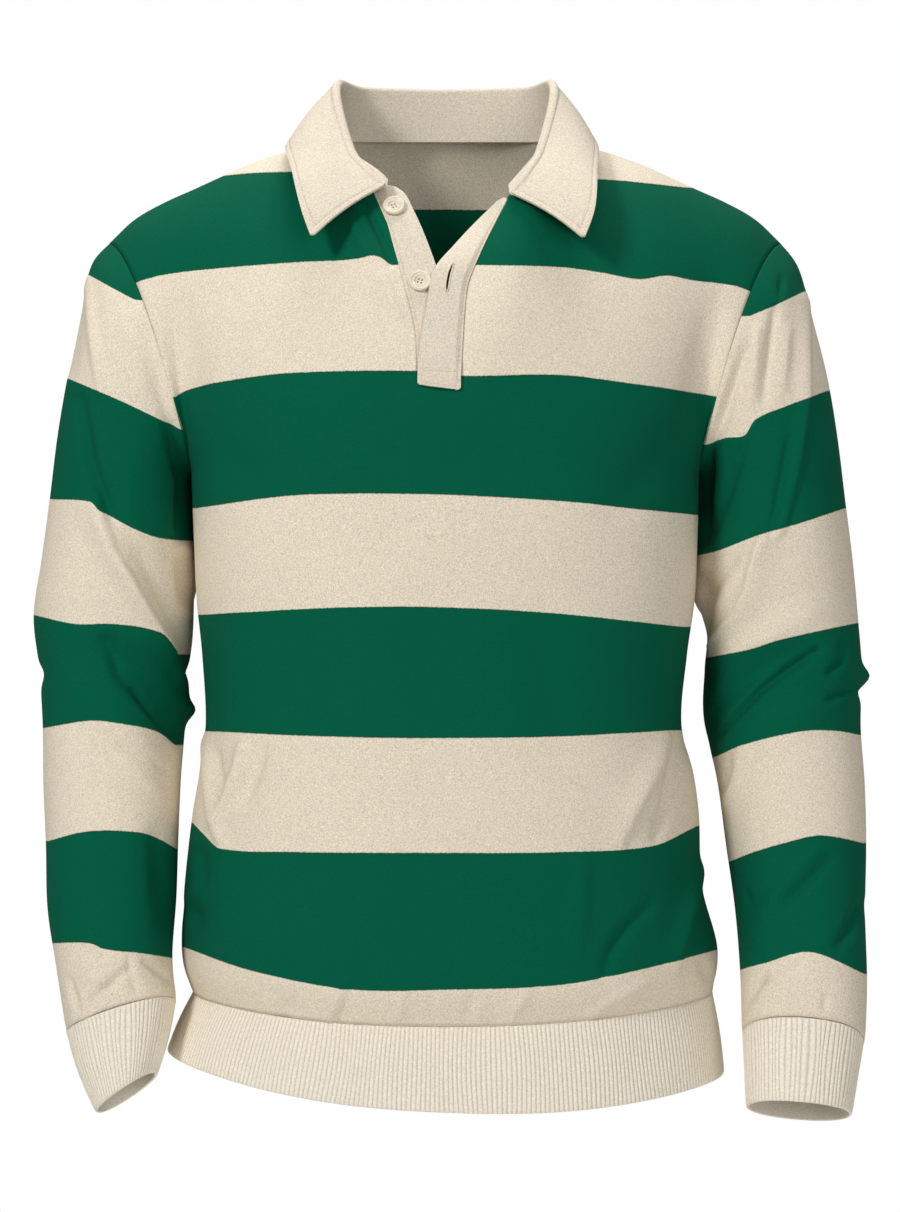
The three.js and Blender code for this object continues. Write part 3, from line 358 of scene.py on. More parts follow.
BACK_CREASES = (
    Crease(((-172, -430), (-168, -470), (-160, -505)), 2.6, 2.2, 4),
    Crease(((-146, -430), (-152, -455), (-164, -480)), 5, 1.6),
    Crease(((-128, -436), (-138, -462)), 9, -1.8),
    Crease(((164, -428), (156, -455), (140, -488)), 14, 2, 0.25),
    Crease(((168, -436), (162, -490)), 6, -2.4),
    Crease(((140, -545), (118, -575), (108, -598)), 6.5, -1.9),
    Crease(((182, -520), (174, -560), (166, -590)), 10, 2.3, 0.35),
    Crease(((-60, -585), (-68, -608)), 6, 1.3),
    Crease(((-118, -580), (-112, -606)), 6, -1.4),
    Crease(((20, -586), (26, -609)), 5, -1.3),
    Crease(((58, -590), (52, -610)), 5, 1.1),
    Crease(((92, -582), (84, -608)), 6, -1.3),
    Crease(((-90, -470), (-20, -520)), 26, -2),
    Crease(((96, -462), (30, -505)), 26, 1.8),
    Crease(((-172, -200), (-140, -240), (-110, -290)), 20, -2.4),
    Crease(((170, -205), (138, -246), (106, -296)), 20, -2.5),
    Crease(((-176, -232), (-132, -300)), 14, 1.8),
    Crease(((174, -238), (134, -306)), 14, 1.7),
    Crease(((-60, -60), (-90, -150)), 20, 1.2),
    Crease(((66, -64), (92, -160)), 20, 1.3),
)


class Side(Enum):
    """The wearer's right or left: the sign of its X."""

    RIGHT = -1
    LEFT = 1


class Yarn(Enum):
    """The colour of a stripe, and the sign of its mark on the cloth."""

    GREEN = 1
    CREAM = -1


def mix(a: float, b: float, t: float) -> float:
    """The value a share t of the way from a to b."""
    return a + (b - a) * t


def clamp(value: float) -> float:
    """The value kept from 0 to 1."""
    return min(1.0, max(0.0, value))


def ease(t: float) -> float:
    """A share that starts and ends gently."""
    return t * t * (3 - 2 * t)


def signed_power(value: float, exponent: float) -> float:
    """A power of a value's size that keeps its sign."""
    return math.copysign(abs(value) ** exponent, value)


def crease_heights(creases: Sequence[Crease], x: np.ndarray, z: np.ndarray) -> np.ndarray:
    """How far each place on a cloth is raised by the creases near it.

    A crease's width holds on the side where x is less, and is multiplied by other beyond it.

    Args:
        creases: The creases, in the same measures as the places.
        x: The places' first coordinates, in millimetres.
        z: The places' second coordinates, in millimetres.

    Returns:
        Heights in millimetres.
    """
    total = np.zeros(np.broadcast(x, z).shape)
    for crease in creases:
        spans = list(zip(crease.path, crease.path[1:]))
        lengths = [math.dist(a, b) for a, b in spans]
        nearest = np.full(total.shape, 1e9)
        beyond = np.zeros(total.shape, bool)
        gone = np.zeros(total.shape)
        done = 0.0
        for ((x0, z0), (x1, z1)), length in zip(spans, lengths):
            run = ((x1 - x0) / length, (z1 - z0) / length)
            t = np.clip((x - x0) * run[0] + (z - z0) * run[1], 0, length)
            off = x - x0 - t * run[0]
            away = np.hypot(off, z - z0 - t * run[1])
            closer = away < nearest
            nearest = np.where(closer, away, nearest)
            beyond = np.where(closer, off > 0, beyond)
            gone = np.where(closer, (done + t) / sum(lengths), gone)
            done += length
        wide = np.where(beyond, crease.wide * crease.other, crease.wide)
        wide = np.maximum(wide, FINEST_CREASE)
        fade = 0.55 + 0.45 * np.sin(np.pi * gone)
        total += crease.high * np.exp(-2 * (nearest / wide) ** 2) * fade
    return total


@dataclass
class TorsoForm:
    """The body's outer surface: level rings below the underarm, and a yoke up to the shoulders."""

    underarm: float = -240
    waist_seam: float = -611
    ring_power: float = 0.84
    neck_half: float = 80
    neck_z: float = 2.5
    ridge_y: float = 4
    neck_front: float = 80
    neck_back: float = 56
    neck_front_drop: float = 81.5
    neck_drop_power: float = 2.4
    hem_drop_power: float = 2.6
    neck_back_rise: float = 11.5
    shoulder_half: float = 243
    neck_share: float = 0.33
    placket_foot: float = 0.32
    half_gap: float = 0.15
    steps: int = 180

    def __post_init__(self) -> None:
        """Measures a quarter of the underarm ring, which all rings share out in the same way."""
        row = BODY.at(self.underarm)
        self.quarter = [0.0]
        last = (row.left, 0.0)
        for i in range(1, self.steps + 1):
            angle = i / self.steps * math.pi / 2
            here = (
                row.left * max(math.cos(angle), 0) ** self.ring_power,
                row.front * math.sin(angle) ** self.ring_power,
            )
            self.quarter.append(self.quarter[-1] + math.dist(here, last))
            last = here
        self.edges: dict[tuple[float, bool], list[Vector]] = {}

    def quarter_angle(self, share: float) -> float:
        """The angle from the side seam at a share of the way to the middle."""
        wanted = clamp(share) * self.quarter[-1]
        i = min(max(bisect.bisect_left(self.quarter, wanted) - 1, 0), self.steps - 1)
        t = (wanted - self.quarter[i]) / (self.quarter[i + 1] - self.quarter[i])
        return (i + t) / self.steps * math.pi / 2

    def ring_point(self, row: SimpleNamespace, across: float, is_front: bool) -> Vector:
        """A point of a ring; across is -1 at the wearer's right side seam and 1 at the left one."""
        angle = self.quarter_angle(1 - abs(across))
        side = -row.right if across < 0 else row.left
        reach = -row.front if is_front else row.back
        middle = math.sin(angle)
        drop = (row.front_drop if is_front else row.back_drop) * middle**self.hem_drop_power
        x = side * max(math.cos(angle), 0) ** self.ring_power
        lean = getattr(row, "lean", 0) * (x / row.left)
        return Vector((x, reach * middle**self.ring_power, row.z - drop + lean))

    def side_reach(self, side: Side, y: np.ndarray, z: np.ndarray) -> np.ndarray:
        """How far out the body reaches on a side, by how far back and how high."""
        heights = np.linspace(-400, self.underarm, 40)
        rows = [BODY.at(height) for height in heights]
        sizes = {
            name: np.interp(z, heights, [getattr(row, name) for row in rows])
            for name in ("left", "right", "front", "back")
        }
        deep = np.where(y < 0, sizes["front"], sizes["back"])
        share = np.clip(np.abs(y) / deep, 0, 1) ** (2 / self.ring_power)
        widest = sizes["right" if side is Side.RIGHT else "left"]
        return widest * (1 - share) ** (self.ring_power / 2)

    def neckline(self, turn: float) -> Vector:
        """A point of the neckline, in degrees round it: 0 at the centre back, 90 at a shoulder."""
        side = math.sin(math.radians(turn))
        middle = math.cos(math.radians(turn))
        if middle > 0:
            z = self.neck_z + self.neck_back_rise * middle
        else:
            z = self.neck_z - self.neck_front_drop * (-middle) ** self.neck_drop_power
        y = self.ridge_y + (self.neck_back if middle > 0 else self.neck_front) * middle
        return Vector((self.neck_half * side, y, z))

    def top_edge(self, across: float, is_front: bool) -> Vector:
        """A panel's top edge: the neckline in the middle and the shoulder seam outside it."""
        share = abs(across)
        sign = math.copysign(1, across)
        gap = -self.half_gap if is_front else self.half_gap
        if share <= self.neck_share:
            turn = share / self.neck_share * 90
            at = self.neckline(180 - turn if is_front else turn)
            return Vector((sign * at.x, at.y + gap, at.z))
        r = (share - self.neck_share) / (1 - self.neck_share)
        out = mix(self.neck_half, self.shoulder_half, r)
        return Vector((sign * out, self.ridge_y + 2 * r + gap, SHOULDER.value(out, "z")))

    def yoke_point(self, across: float, up: float, is_front: bool) -> Vector:
        """A point of a panel from the underarm ring, up 0, to its top edge, up 1."""
        key = (across, is_front)
        if key not in self.edges:
            pull = (FRONT_RISE if is_front else BACK_RISE).at(abs(across))
            side = math.copysign(1, across) if across else 0
            ahead = -1 if is_front else 1
            foot = self.ring_point(BODY.at(self.underarm), across, is_front)
            top = self.top_edge(across, is_front)
            low = foot + Vector((side * pull.rise_out, ahead * pull.rise_ahead, pull.rise_up))
            high = top + Vector((side * pull.roll_out, ahead * pull.roll_ahead, -pull.roll_down))
            self.edges[key] = [foot, low, high, top]
        foot, low, high, top = self.edges[key]
        rest = 1 - up
        return (
            foot * rest**3 + low * (3 * rest * rest * up) + high * (3 * rest * up * up) + top * up**3
        )

    def point(self, across: float, level: float, is_front: bool) -> Vector:
        """A point of a panel: level -1 at the waistband seam, 0 at the underarm, 1 at the top."""
        if level > 0:
            return self.yoke_point(across, level, is_front)
        z = mix(self.underarm, self.waist_seam, -level)
        return self.ring_point(BODY.at(z), across, is_front)

    def normal(self, across: float, level: float, is_front: bool) -> Vector:
        """The outward direction of a panel at a point."""
        step = 0.004
        run = self.point(across + step, level, is_front) - self.point(across - step, level, is_front)
        low = self.point(across, level - step, is_front)
        climb = self.point(across, min(level + step, 1), is_front) - low
        return run.cross(climb).normalized() * (1 if is_front else -1)

    def across_at(self, x: float, level: float) -> float:
        """The share across the front at which it reaches an x."""
        low, high = -1.0, 1.0
        for _ in range(24):
            middle = (low + high) / 2
            if self.point(middle, level, True).x < x:
                low = middle
            else:
                high = middle
        return (low + high) / 2

    def gap_edge(self, level: float, side: Side) -> float:
        """An edge of the gap that the placket fills, as a share across the front."""
        up = clamp((level - self.placket_foot) / (1 - self.placket_foot))
        x = PLACKET_GAP.value(up, "right" if side is Side.RIGHT else "left")
        return self.across_at(side.value * x, level)


class ClothGrid:
    """A grid of points over a piece's outer face, with columns across and rows up."""

    def __init__(
        self,
        columns: int,
        rows: int,
        point_at: Callable[[int, int], Vector],
        wraps: bool = False,
        has: Callable[[int, int], bool] | None = None,
    ) -> None:
        """Works out the points.

        Args:
            columns: Points in a row.
            rows: Rows of points.
            point_at: The point at a column and a row, in millimetres.
            wraps: Whether the last column joins the first.
            has: Whether there is cloth in the cell above and beyond a point; everywhere if None.
        """
        self.points = np.array(
            [[tuple(point_at(i, j)) for i in range(columns)] for j in range(rows)], float
        )
        self.wraps = wraps
        self.cells = columns if wraps else columns - 1
        self.has = np.ones((rows - 1, self.cells), bool)
        if has:
            for j in range(rows - 1):
                for i in range(self.cells):
                    self.has[j, i] = has(i, j)

    def closed(self) -> np.ndarray:
        """The points with the first column again at the end where the grid wraps."""
        if self.wraps:
            return np.concatenate([self.points, self.points[:, :1]], axis=1)
        return self.points

    def normals(self) -> np.ndarray:
        """Outward directions, each the mean of the cells that meet at a point."""
        p = self.closed()
        facing = np.cross(p[1:, 1:] - p[:-1, :-1], p[1:, :-1] - p[:-1, 1:])
        facing /= np.maximum(np.linalg.norm(facing, axis=2, keepdims=True), 1e-12)
        facing *= self.has[..., None]
        total = np.zeros_like(p)
        rows, cells = self.has.shape
        for dj in (0, 1):
            for di in (0, 1):
                total[dj : dj + rows, di : di + cells] += facing
        if self.wraps:
            total[:, 0] += total[:, -1]
            total = total[:, :-1]
        return total / np.maximum(np.linalg.norm(total, axis=2, keepdims=True), 1e-12)

    def raise_by(self, heights: np.ndarray) -> None:
        """Moves each point out along its normal by its height."""
        self.points = self.points + self.normals() * heights[..., None]

    def lengths(self) -> tuple[np.ndarray, np.ndarray]:
        """How far each point lies along its row and up its column, in metres."""
        p = self.closed()
        along = np.linalg.norm(np.diff(p, axis=1), axis=2)
        along = np.concatenate([np.zeros((len(p), 1)), np.cumsum(along, axis=1)], axis=1)
        along -= along[:, -1:] / 2
        up = np.linalg.norm(np.diff(p, axis=0), axis=2)
        up = np.concatenate([np.zeros((1, p.shape[1])), np.cumsum(up, axis=0)], axis=0)
        return along * MM, up * MM

    def make(
        self, name: str, marks: dict[str, np.ndarray] | None = None, loops: bool = False
    ) -> bpy.types.Object:
        """Makes the grid's mesh object, with its cloth lengths as a UV map.

        Args:
            name: The object's name.
            marks: Values by attribute name, one for each point.
            loops: Whether the last row joins the first, which it repeats.

        Returns:
            The object, at the origin.
        """
        marks = marks or {}
        places = self.closed() * MM
        values = {}
        for mark, array in marks.items():
            values[mark] = np.concatenate([array, array[:, :1]], axis=1) if self.wraps else array
        rows = places.shape[0] - 1
        bm = bmesh.new()
        cloth = bm.loops.layers.uv.new("cloth")
        layers = {mark: bm.verts.layers.float.new(mark) for mark in marks}
        bmesh.ops.create_grid(
            bm, x_segments=self.cells, y_segments=rows, size=0.5, calc_uvs=True
        )
        along, up = self.lengths()
        bare = []
        for face in bm.faces:
            middle = face.calc_center_median()
            cell = (int((middle.y + 0.5) * rows), int((middle.x + 0.5) * self.cells))
            if not self.has[cell]:
                bare.append(face)
            for loop in face.loops:
                u, v = loop[cloth].uv
                at = (round(v * rows), round(u * self.cells))
                loop[cloth].uv = (along[at], up[at])
        for vert in bm.verts:
            at = (round((vert.co.y + 0.5) * rows), round((vert.co.x + 0.5) * self.cells))
            vert.co = places[at]
            for mark, layer in layers.items():
                vert[layer] = values[mark][at]
        bmesh.ops.delete(bm, geom=bare, context="FACES")
        if self.wraps or loops:
            ends = [v for v in bm.verts if v.is_boundary]
            bmesh.ops.remove_doubles(bm, verts=ends, dist=1e-6)
        return finish_mesh(bm, name)


def finish_mesh(bm: bmesh.types.BMesh, name: str, smooth: bool = True) -> bpy.types.Object:
    """Turns a bmesh into an object in the scene and frees it."""
    mesh = bpy.data.meshes.new(name)
    bm.to_mesh(mesh)
    bm.free()
    if smooth:
        mesh.shade_smooth()
    made = bpy.data.objects.new(name, mesh)
    bpy.context.scene.collection.objects.link(made)
    return made


def thicken(piece: bpy.types.Object, thick: float, round_edges: bool = False) -> None:
    """Gives a cloth piece its thickness, inwards from its outer face.

    Args:
        piece: The piece, one sheet of faces.
        thick: The thickness in millimetres.
        round_edges: Whether its cut edges are folded and so rounded.
    """
    wall = piece.modifiers.new("cloth thickness", "SOLIDIFY")
    wall.thickness = thick * MM
    wall.offset = -1
    wall.use_even_offset = False
    if round_edges:
        fold = piece.modifiers.new("folded edge", "BEVEL")
        fold.width = thick * 0.36 * MM
        fold.segments = 3
        fold.limit_method = "ANGLE"
        fold.angle_limit = math.radians(50)


@dataclass(frozen=True)
class StripeEdge:
    """An edge between two stripes, by (x, z) places seen from the front in the side seams' plane."""

    places: tuple[tuple[float, float], ...]

    def heights(self, x: np.ndarray) -> np.ndarray:
        """The edge's height at each x, held level past its ends."""
        course = Course("x", "x z", self.places)
        xs = np.linspace(self.places[0][0], self.places[-1][0], 160)
        return np.interp(x, xs, [course.value(v, "z") for v in xs])

    def straight(self, x: np.ndarray) -> np.ndarray:
        """The height of a straight line between the edge's ends, for the side that doesn't show."""
        (x0, z0), (x1, z1) = self.places[0], self.places[-1]
        return np.interp(x, [x0, x1], [z0, z1])


@dataclass(frozen=True)
class StripeChart:
    """The edges of a piece's stripes from the top down, and the colour above the first."""

    top: Yarn
    edges: tuple[StripeEdge, ...]
    view_distance: ClassVar[float] = 1900
    view_height: ClassVar[float] = -395.5

    def seen(self, points: np.ndarray) -> tuple[np.ndarray, np.ndarray]:
        """Where points stand seen from the front: their x and z in the side seams' plane."""
        nearer = 1 + points[..., 1] / self.view_distance
        height = self.view_height + (points[..., 2] - self.view_height) / nearer
        return points[..., 0] / nearer, height

    def marks(self, x: np.ndarray, z: np.ndarray, shows: np.ndarray) -> np.ndarray:
        """The distance to the nearest stripe edge, above 0 in green and below 0 in cream.

        Args:
            x: The places' x.
            z: The places' height.
            shows: How far each place follows the stripe edges' course, from 0 to 1.

        Returns:
            Signed distances in millimetres.
        """
        best = np.full(x.shape, 1e3)
        signed = np.zeros(x.shape)
        above = self.top.value
        for edge in self.edges:
            level = edge.straight(x)
            away = z - level - (edge.heights(x) - level) * shows
            nearest = np.abs(away) < best
            best = np.where(nearest, np.abs(away), best)
            signed = np.where(nearest, away * above, signed)
            above = -above
        return signed


BODY_STRIPES = StripeChart(Yarn.CREAM, (
    StripeEdge(((-190, -31), (-155, -24.7), (-112, -22.5), (0, -24), (115, -28), (176, -34))),
    StripeEdge((
        (-226, -103), (-203, -96.7), (-161, -91.7), (-104, -87.3), (-75, -86.2), (-58, -84.2),
        (-51, -82.8), (-45, -84.5), (-41, -87.2), (-34, -89), (20, -89.5),
        (83, -91), (115, -95.3), (140, -99.6), (160, -97), (180, -100.7), (208, -104.3),
        (226, -110.4),
    )),
    StripeEdge((
        (-194, -184.5), (-184, -178.8), (-161, -173.7), (-112, -167.3), (-22, -165.8),
        (12, -169.4), (83, -168.7), (137, -175.2), (172, -180.2), (197, -184.5),
    )),
    StripeEdge(((-178.6, -264.5), (-112, -255.5), (-18, -254.4), (83, -259.5), (180.7, -269.5))),
    StripeEdge(((-175, -341.5), (-90, -336.6), (-11, -335.7), (83, -340.6), (171, -350.1))),
    StripeEdge(((-172, -425), (-90, -428.8), (-4, -430.1), (83, -428.8), (169, -424.3))),
    StripeEdge((
        (-181.4, -491.3), (-175, -498), (-162, -509.3), (-110, -512.2), (-4, -512.9),
        (83, -512.2), (150, -507.8), (182, -493.4),
    )),
    StripeEdge((
        (-188.6, -580.5), (-140, -597.1), (-72, -610.8), (-4, -611.5), (83, -607.9),
        (140, -597.1), (195, -582.7),
    )),
))
SLEEVE_RIGHT_STRIPES = StripeChart(Yarn.GREEN, (
    StripeEdge(((-256, -96.7), (-240, -105.7), (-223, -114.7))),
    StripeEdge(((-272, -170.9), (-230, -188.9), (-190, -208.3))),
    StripeEdge(((-285, -258), (-254, -260.1), (-247.7, -266.6), (-211, -284.6), (-182, -288.2))),
    StripeEdge((
        (-296.6, -341.5), (-265.7, -348), (-238.3, -348), (-208.8, -353.7), (-196.6, -368.1),
        (-182.9, -370.3),
    )),
    StripeEdge((
        (-290.2, -422.9), (-255.6, -417.8), (-230.4, -420.7), (-206.6, -425.7), (-192.2, -435.1),
    )),
    StripeEdge((
        (-285.8, -504.2), (-259.2, -497.7), (-234, -497), (-208.8, -500.6), (-192.2, -510.7),
    )),
    StripeEdge((
        (-282.2, -577.7), (-255.6, -577.7), (-244.8, -582), (-219.6, -584.9), (-196.6, -588.5),
    )),
))
SLEEVE_LEFT_STRIPES = StripeChart(Yarn.GREEN, (
    StripeEdge(((219.6, -126.2), (237.6, -118.3), (257.8, -108.9))),
    StripeEdge((
        (190.1, -219.1), (201.6, -214.1), (216, -211.9), (223.2, -201.1), (248.4, -190.3),
        (275, -180.2),
    )),
    StripeEdge(((185.8, -298.3), (198, -294.7), (230.4, -282.5), (255.6, -275.3), (288, -264.5))),
    StripeEdge(((193, -372.5), (219.6, -366.7), (241.2, -359.5), (296.6, -347.3))),
    StripeEdge(((191.5, -444.5), (216, -435.1), (255.6, -425.7), (280.8, -425), (298.8, -427.9))),
    StripeEdge((
        (204.5, -519.3), (223.2, -512.1), (244.8, -505.7), (266.4, -500.6), (280.8, -501.3),
        (301, -505.7),
    )),
    StripeEdge(((212.4, -597.1), (230.4, -591.3), (255.6, -584.5), (270, -585.6), (302.4, -600))),
))


class Wiring:
    """Adds and joins the nodes of one node tree."""

    def __init__(self, tree: bpy.types.NodeTree) -> None:
        """Starts on a tree."""
        self.tree = tree

    def add(self, kind: str, inputs: dict | None = None, **settings: object) -> bpy.types.Node:
        """Adds a node.

        Args:
            kind: The node's type.
            inputs: A value or another node's output for each named or numbered input.
            settings: The node's own settings.

        Returns:
            The node.
        """
        node = self.tree.nodes.new(kind)
        for name, value in settings.items():
            setattr(node, name, value)
        for name, value in (inputs or {}).items():
            if isinstance(value, bpy.types.NodeSocket):
                self.tree.links.new(value, node.inputs[name])
            else:
                node.inputs[name].default_value = value
        return node

    def math(self, operation: str, *values: object, clamp_it: bool = False) -> bpy.types.NodeSocket:
        """Adds a Math node and returns its output."""
        inputs = dict(enumerate(values))
        return self.add("ShaderNodeMath", inputs, operation=operation, use_clamp=clamp_it).outputs[0]

    def blend(self, share: object, a: object, b: object) -> bpy.types.NodeSocket:
        """Adds a colour mix and returns its output."""
        mixer = self.add("ShaderNodeMix", {0: share, 6: a, 7: b}, data_type="RGBA")
        return mixer.outputs[2]

    def ramp(self, value: object, low: float, high: float, a: float, b: float) -> bpy.types.NodeSocket:
        """Maps a value's range low to high onto a to b, clamped."""
        inputs = {0: value, 1: low, 2: high, 3: a, 4: b}
        return self.add("ShaderNodeMapRange", inputs, clamp=True).outputs[0]


def yarn_grain() -> bpy.types.NodeTree:
    """The shader group for a knit's yarn: fine mottle, slow cloudiness and the relief of its loops."""
    name = "yarn_grain"
    if name in bpy.data.node_groups:
        return bpy.data.node_groups[name]
    tree = bpy.data.node_groups.new(name, "ShaderNodeTree")
    for socket, kind in (("Vector", "Vector"), ("Size", "Float"), ("Mottle", "Float"), ("Cloud", "Float")):
        tree.interface.new_socket(socket, in_out="INPUT", socket_type="NodeSocket" + kind)
    for socket in ("Shade", "Height"):
        tree.interface.new_socket(socket, in_out="OUTPUT", socket_type="NodeSocketFloat")
    wires = Wiring(tree)
    given = wires.add("NodeGroupInput").outputs
    scale = wires.math("DIVIDE", 1.0, given["Size"])
    fine = wires.add("ShaderNodeTexNoise", {"Vector": given["Vector"], "Scale": scale, "Detail": 1.0})
    coarse_scale = wires.math("MULTIPLY", scale, 0.38)
    coarse = wires.add(
        "ShaderNodeTexNoise", {"Vector": given["Vector"], "Scale": coarse_scale, "Detail": 1.0}
    )
    cloud = wires.add("ShaderNodeTexNoise", {"Vector": given["Vector"], "Scale": 22.0, "Detail": 3.0})
    grain = wires.math("MULTIPLY_ADD", coarse.outputs[0], 0.1, fine.outputs[0])
    grain = wires.math("SUBTRACT", grain, 0.55)
    slow = wires.math("SUBTRACT", cloud.outputs[0], 0.5)
    shade = wires.math("MULTIPLY_ADD", grain, given["Mottle"], 1.0)
    shade = wires.math("MULTIPLY_ADD", slow, given["Cloud"], shade)
    wires.add("NodeGroupOutput", {"Shade": shade, "Height": grain})
    return tree


@dataclass(frozen=True)
class KnitFinish:
    """A knitted cotton finish; stripes are read from the piece's own marks, and on ribbed pieces painted
    shade in the rib grooves, with a faint painted highlight on their ridges, is read from a mark too.
    """

    name: str
    cream: tuple[float, float, float] = (0.78, 0.69, 0.55)
    green: tuple[float, float, float] | None = None
    grain: float = 0.00085
    mottle: float = 0.95
    green_mottle: float = 0.4
    cloud: float = 0.06
    relief: float = 0.0003
    roughness: float = 0.88
    sheen: float = 0.01
    paints_rib_shade: bool = False

    def material(self) -> bpy.types.Material:
        """Makes the finish's material."""
        made = bpy.data.materials.new(self.name)
        made.use_nodes = True
        tree = made.node_tree
        tree.nodes.clear()
        wires = Wiring(tree)
        place = wires.add("ShaderNodeTexCoord").outputs["Object"]
        mottle: object = self.mottle
        undyed = wires.add("ShaderNodeRGB")
        undyed.outputs[0].default_value = (*self.cream, 1)
        colour = undyed.outputs[0]
        darker: object = 1.0
        if self.green:
            stripe = wires.add("ShaderNodeAttribute", attribute_name="stripe").outputs["Fac"]
            jag = wires.add("ShaderNodeTexNoise", {"Vector": place, "Scale": 700.0, "Detail": 1.0})
            stripe = wires.math(
                "MULTIPLY_ADD", wires.math("SUBTRACT", jag.outputs[0], 0.5), 0.9, stripe
            )
            is_green = wires.ramp(stripe, -0.25, 0.25, 0.0, 1.0)
            colour = wires.blend(is_green, colour, (*self.green, 1))
            mottle = wires.ramp(is_green, 0.0, 1.0, self.mottle, self.green_mottle)
            edge = wires.math("ABSOLUTE", wires.math("SUBTRACT", stripe, 0.2))
            patchy = wires.add("ShaderNodeTexNoise", {"Vector": place, "Scale": 14.0, "Detail": 1.0})
            deepest = wires.ramp(patchy.outputs[0], 0.38, 0.62, 0.55, 1.08)
            darker = wires.ramp(edge, 0.2, 0.9, deepest, 1.0)
        # Painted shade: on the ribbed finish the rib mark darkens the grooves to 0.7 of the colour and
        # lifts the ridges to 1.05, a faint painted highlight.
        if self.paints_rib_shade:
            rib = wires.add("ShaderNodeAttribute", attribute_name="rib").outputs["Fac"]
            darker = wires.ramp(rib, 0.0, 1.0, 0.7, 1.05)
        group = wires.add("ShaderNodeGroup", node_tree=yarn_grain())
        for name, value in (("Vector", place), ("Size", self.grain), ("Mottle", mottle)):
            if isinstance(value, bpy.types.NodeSocket):
                tree.links.new(value, group.inputs[name])
            else:
                group.inputs[name].default_value = value
        group.inputs["Cloud"].default_value = self.cloud
        shade = wires.math("MULTIPLY", group.outputs["Shade"], darker)
        tinted = wires.add("ShaderNodeVectorMath", {0: colour, "Scale": shade}, operation="SCALE")
        bump = wires.add(
            "ShaderNodeBump",
            {"Height": group.outputs["Height"], "Distance": self.relief, "Strength": 0.7},
        )
        shader = wires.add(
            "ShaderNodeBsdfPrincipled",
            {
                "Base Color": tinted.outputs[0],
                "Normal": bump.outputs[0],
                "Roughness": self.roughness,
                "Specular IOR Level": 0.07,
                "Sheen Weight": self.sheen,
                "Sheen Roughness": 0.45,
            },
        )
        wires.add("ShaderNodeOutputMaterial", {"Surface": shader.outputs[0]})
        return made


@dataclass(frozen=True)
class ResinFinish:
    """The buttons' cream resin, faintly swirled and satin."""

    name: str = "button_resin"
    pale: tuple[float, float, float] = (0.83, 0.75, 0.61)
    warm: tuple[float, float, float] = (0.74, 0.64, 0.49)
    roughness: float = 0.32

    def material(self) -> bpy.types.Material:
        """Makes the finish's material."""
        made = bpy.data.materials.new(self.name)
        made.use_nodes = True
        tree = made.node_tree
        tree.nodes.clear()
        wires = Wiring(tree)
        place = wires.add("ShaderNodeTexCoord").outputs["Object"]
        swirl = wires.add(
            "ShaderNodeTexNoise",
            {"Vector": place, "Scale": 160.0, "Detail": 3.0, "Distortion": 1.2},
        )
        share = wires.ramp(swirl.outputs[0], 0.35, 0.7, 0.0, 0.6)
        colour = wires.blend(share, (*self.pale, 1), (*self.warm, 1))
        fine = wires.add("ShaderNodeTexNoise", {"Vector": place, "Scale": 900.0, "Detail": 2.0})
        rough = wires.ramp(fine.outputs[0], 0.3, 0.7, self.roughness - 0.06, self.roughness + 0.1)
        bump = wires.add(
            "ShaderNodeBump", {"Height": fine.outputs[0], "Distance": 0.00004, "Strength": 0.4}
        )
        shader = wires.add(
            "ShaderNodeBsdfPrincipled",
            {"Base Color": colour, "Roughness": rough, "Normal": bump.outputs[0]},
        )
        wires.add("ShaderNodeOutputMaterial", {"Surface": shader.outputs[0]})
        return made


JERSEY = KnitFinish("striped_jersey", green=(0.0, 0.103, 0.053))
RIB = KnitFinish(
    "rib_knit", cream=(0.89, 0.81, 0.675), grain=0.0009, mottle=0.6, cloud=0.05, paints_rib_shade=True
)
TRIM = KnitFinish(
    "collar_cotton", cream=(0.735, 0.652, 0.527), grain=0.001, mottle=0.8, cloud=0.06
)
THREAD = KnitFinish(
    "sewing_thread", cream=(0.77, 0.69, 0.56), grain=0.0004, mottle=0.35, cloud=0.0, sheen=0.2
)


def attach(
    piece: bpy.types.Object,
    finish: bpy.types.Material,
    node: str | None = None,
) -> bpy.types.Object:
    """Dresses a piece, hangs it on the shirt's body and names the solid that it stands for.

    Args:
        piece: The piece.
        finish: Its material.
        node: The solid that it replaces, if any.

    Returns:
        The piece.
    """
    piece.data.materials.append(finish)
    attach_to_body(piece, BODY_NAME)
    if node:
        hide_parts(node)
    log.info("%s: %d faces", piece.name, len(piece.data.polygons))
    return piece


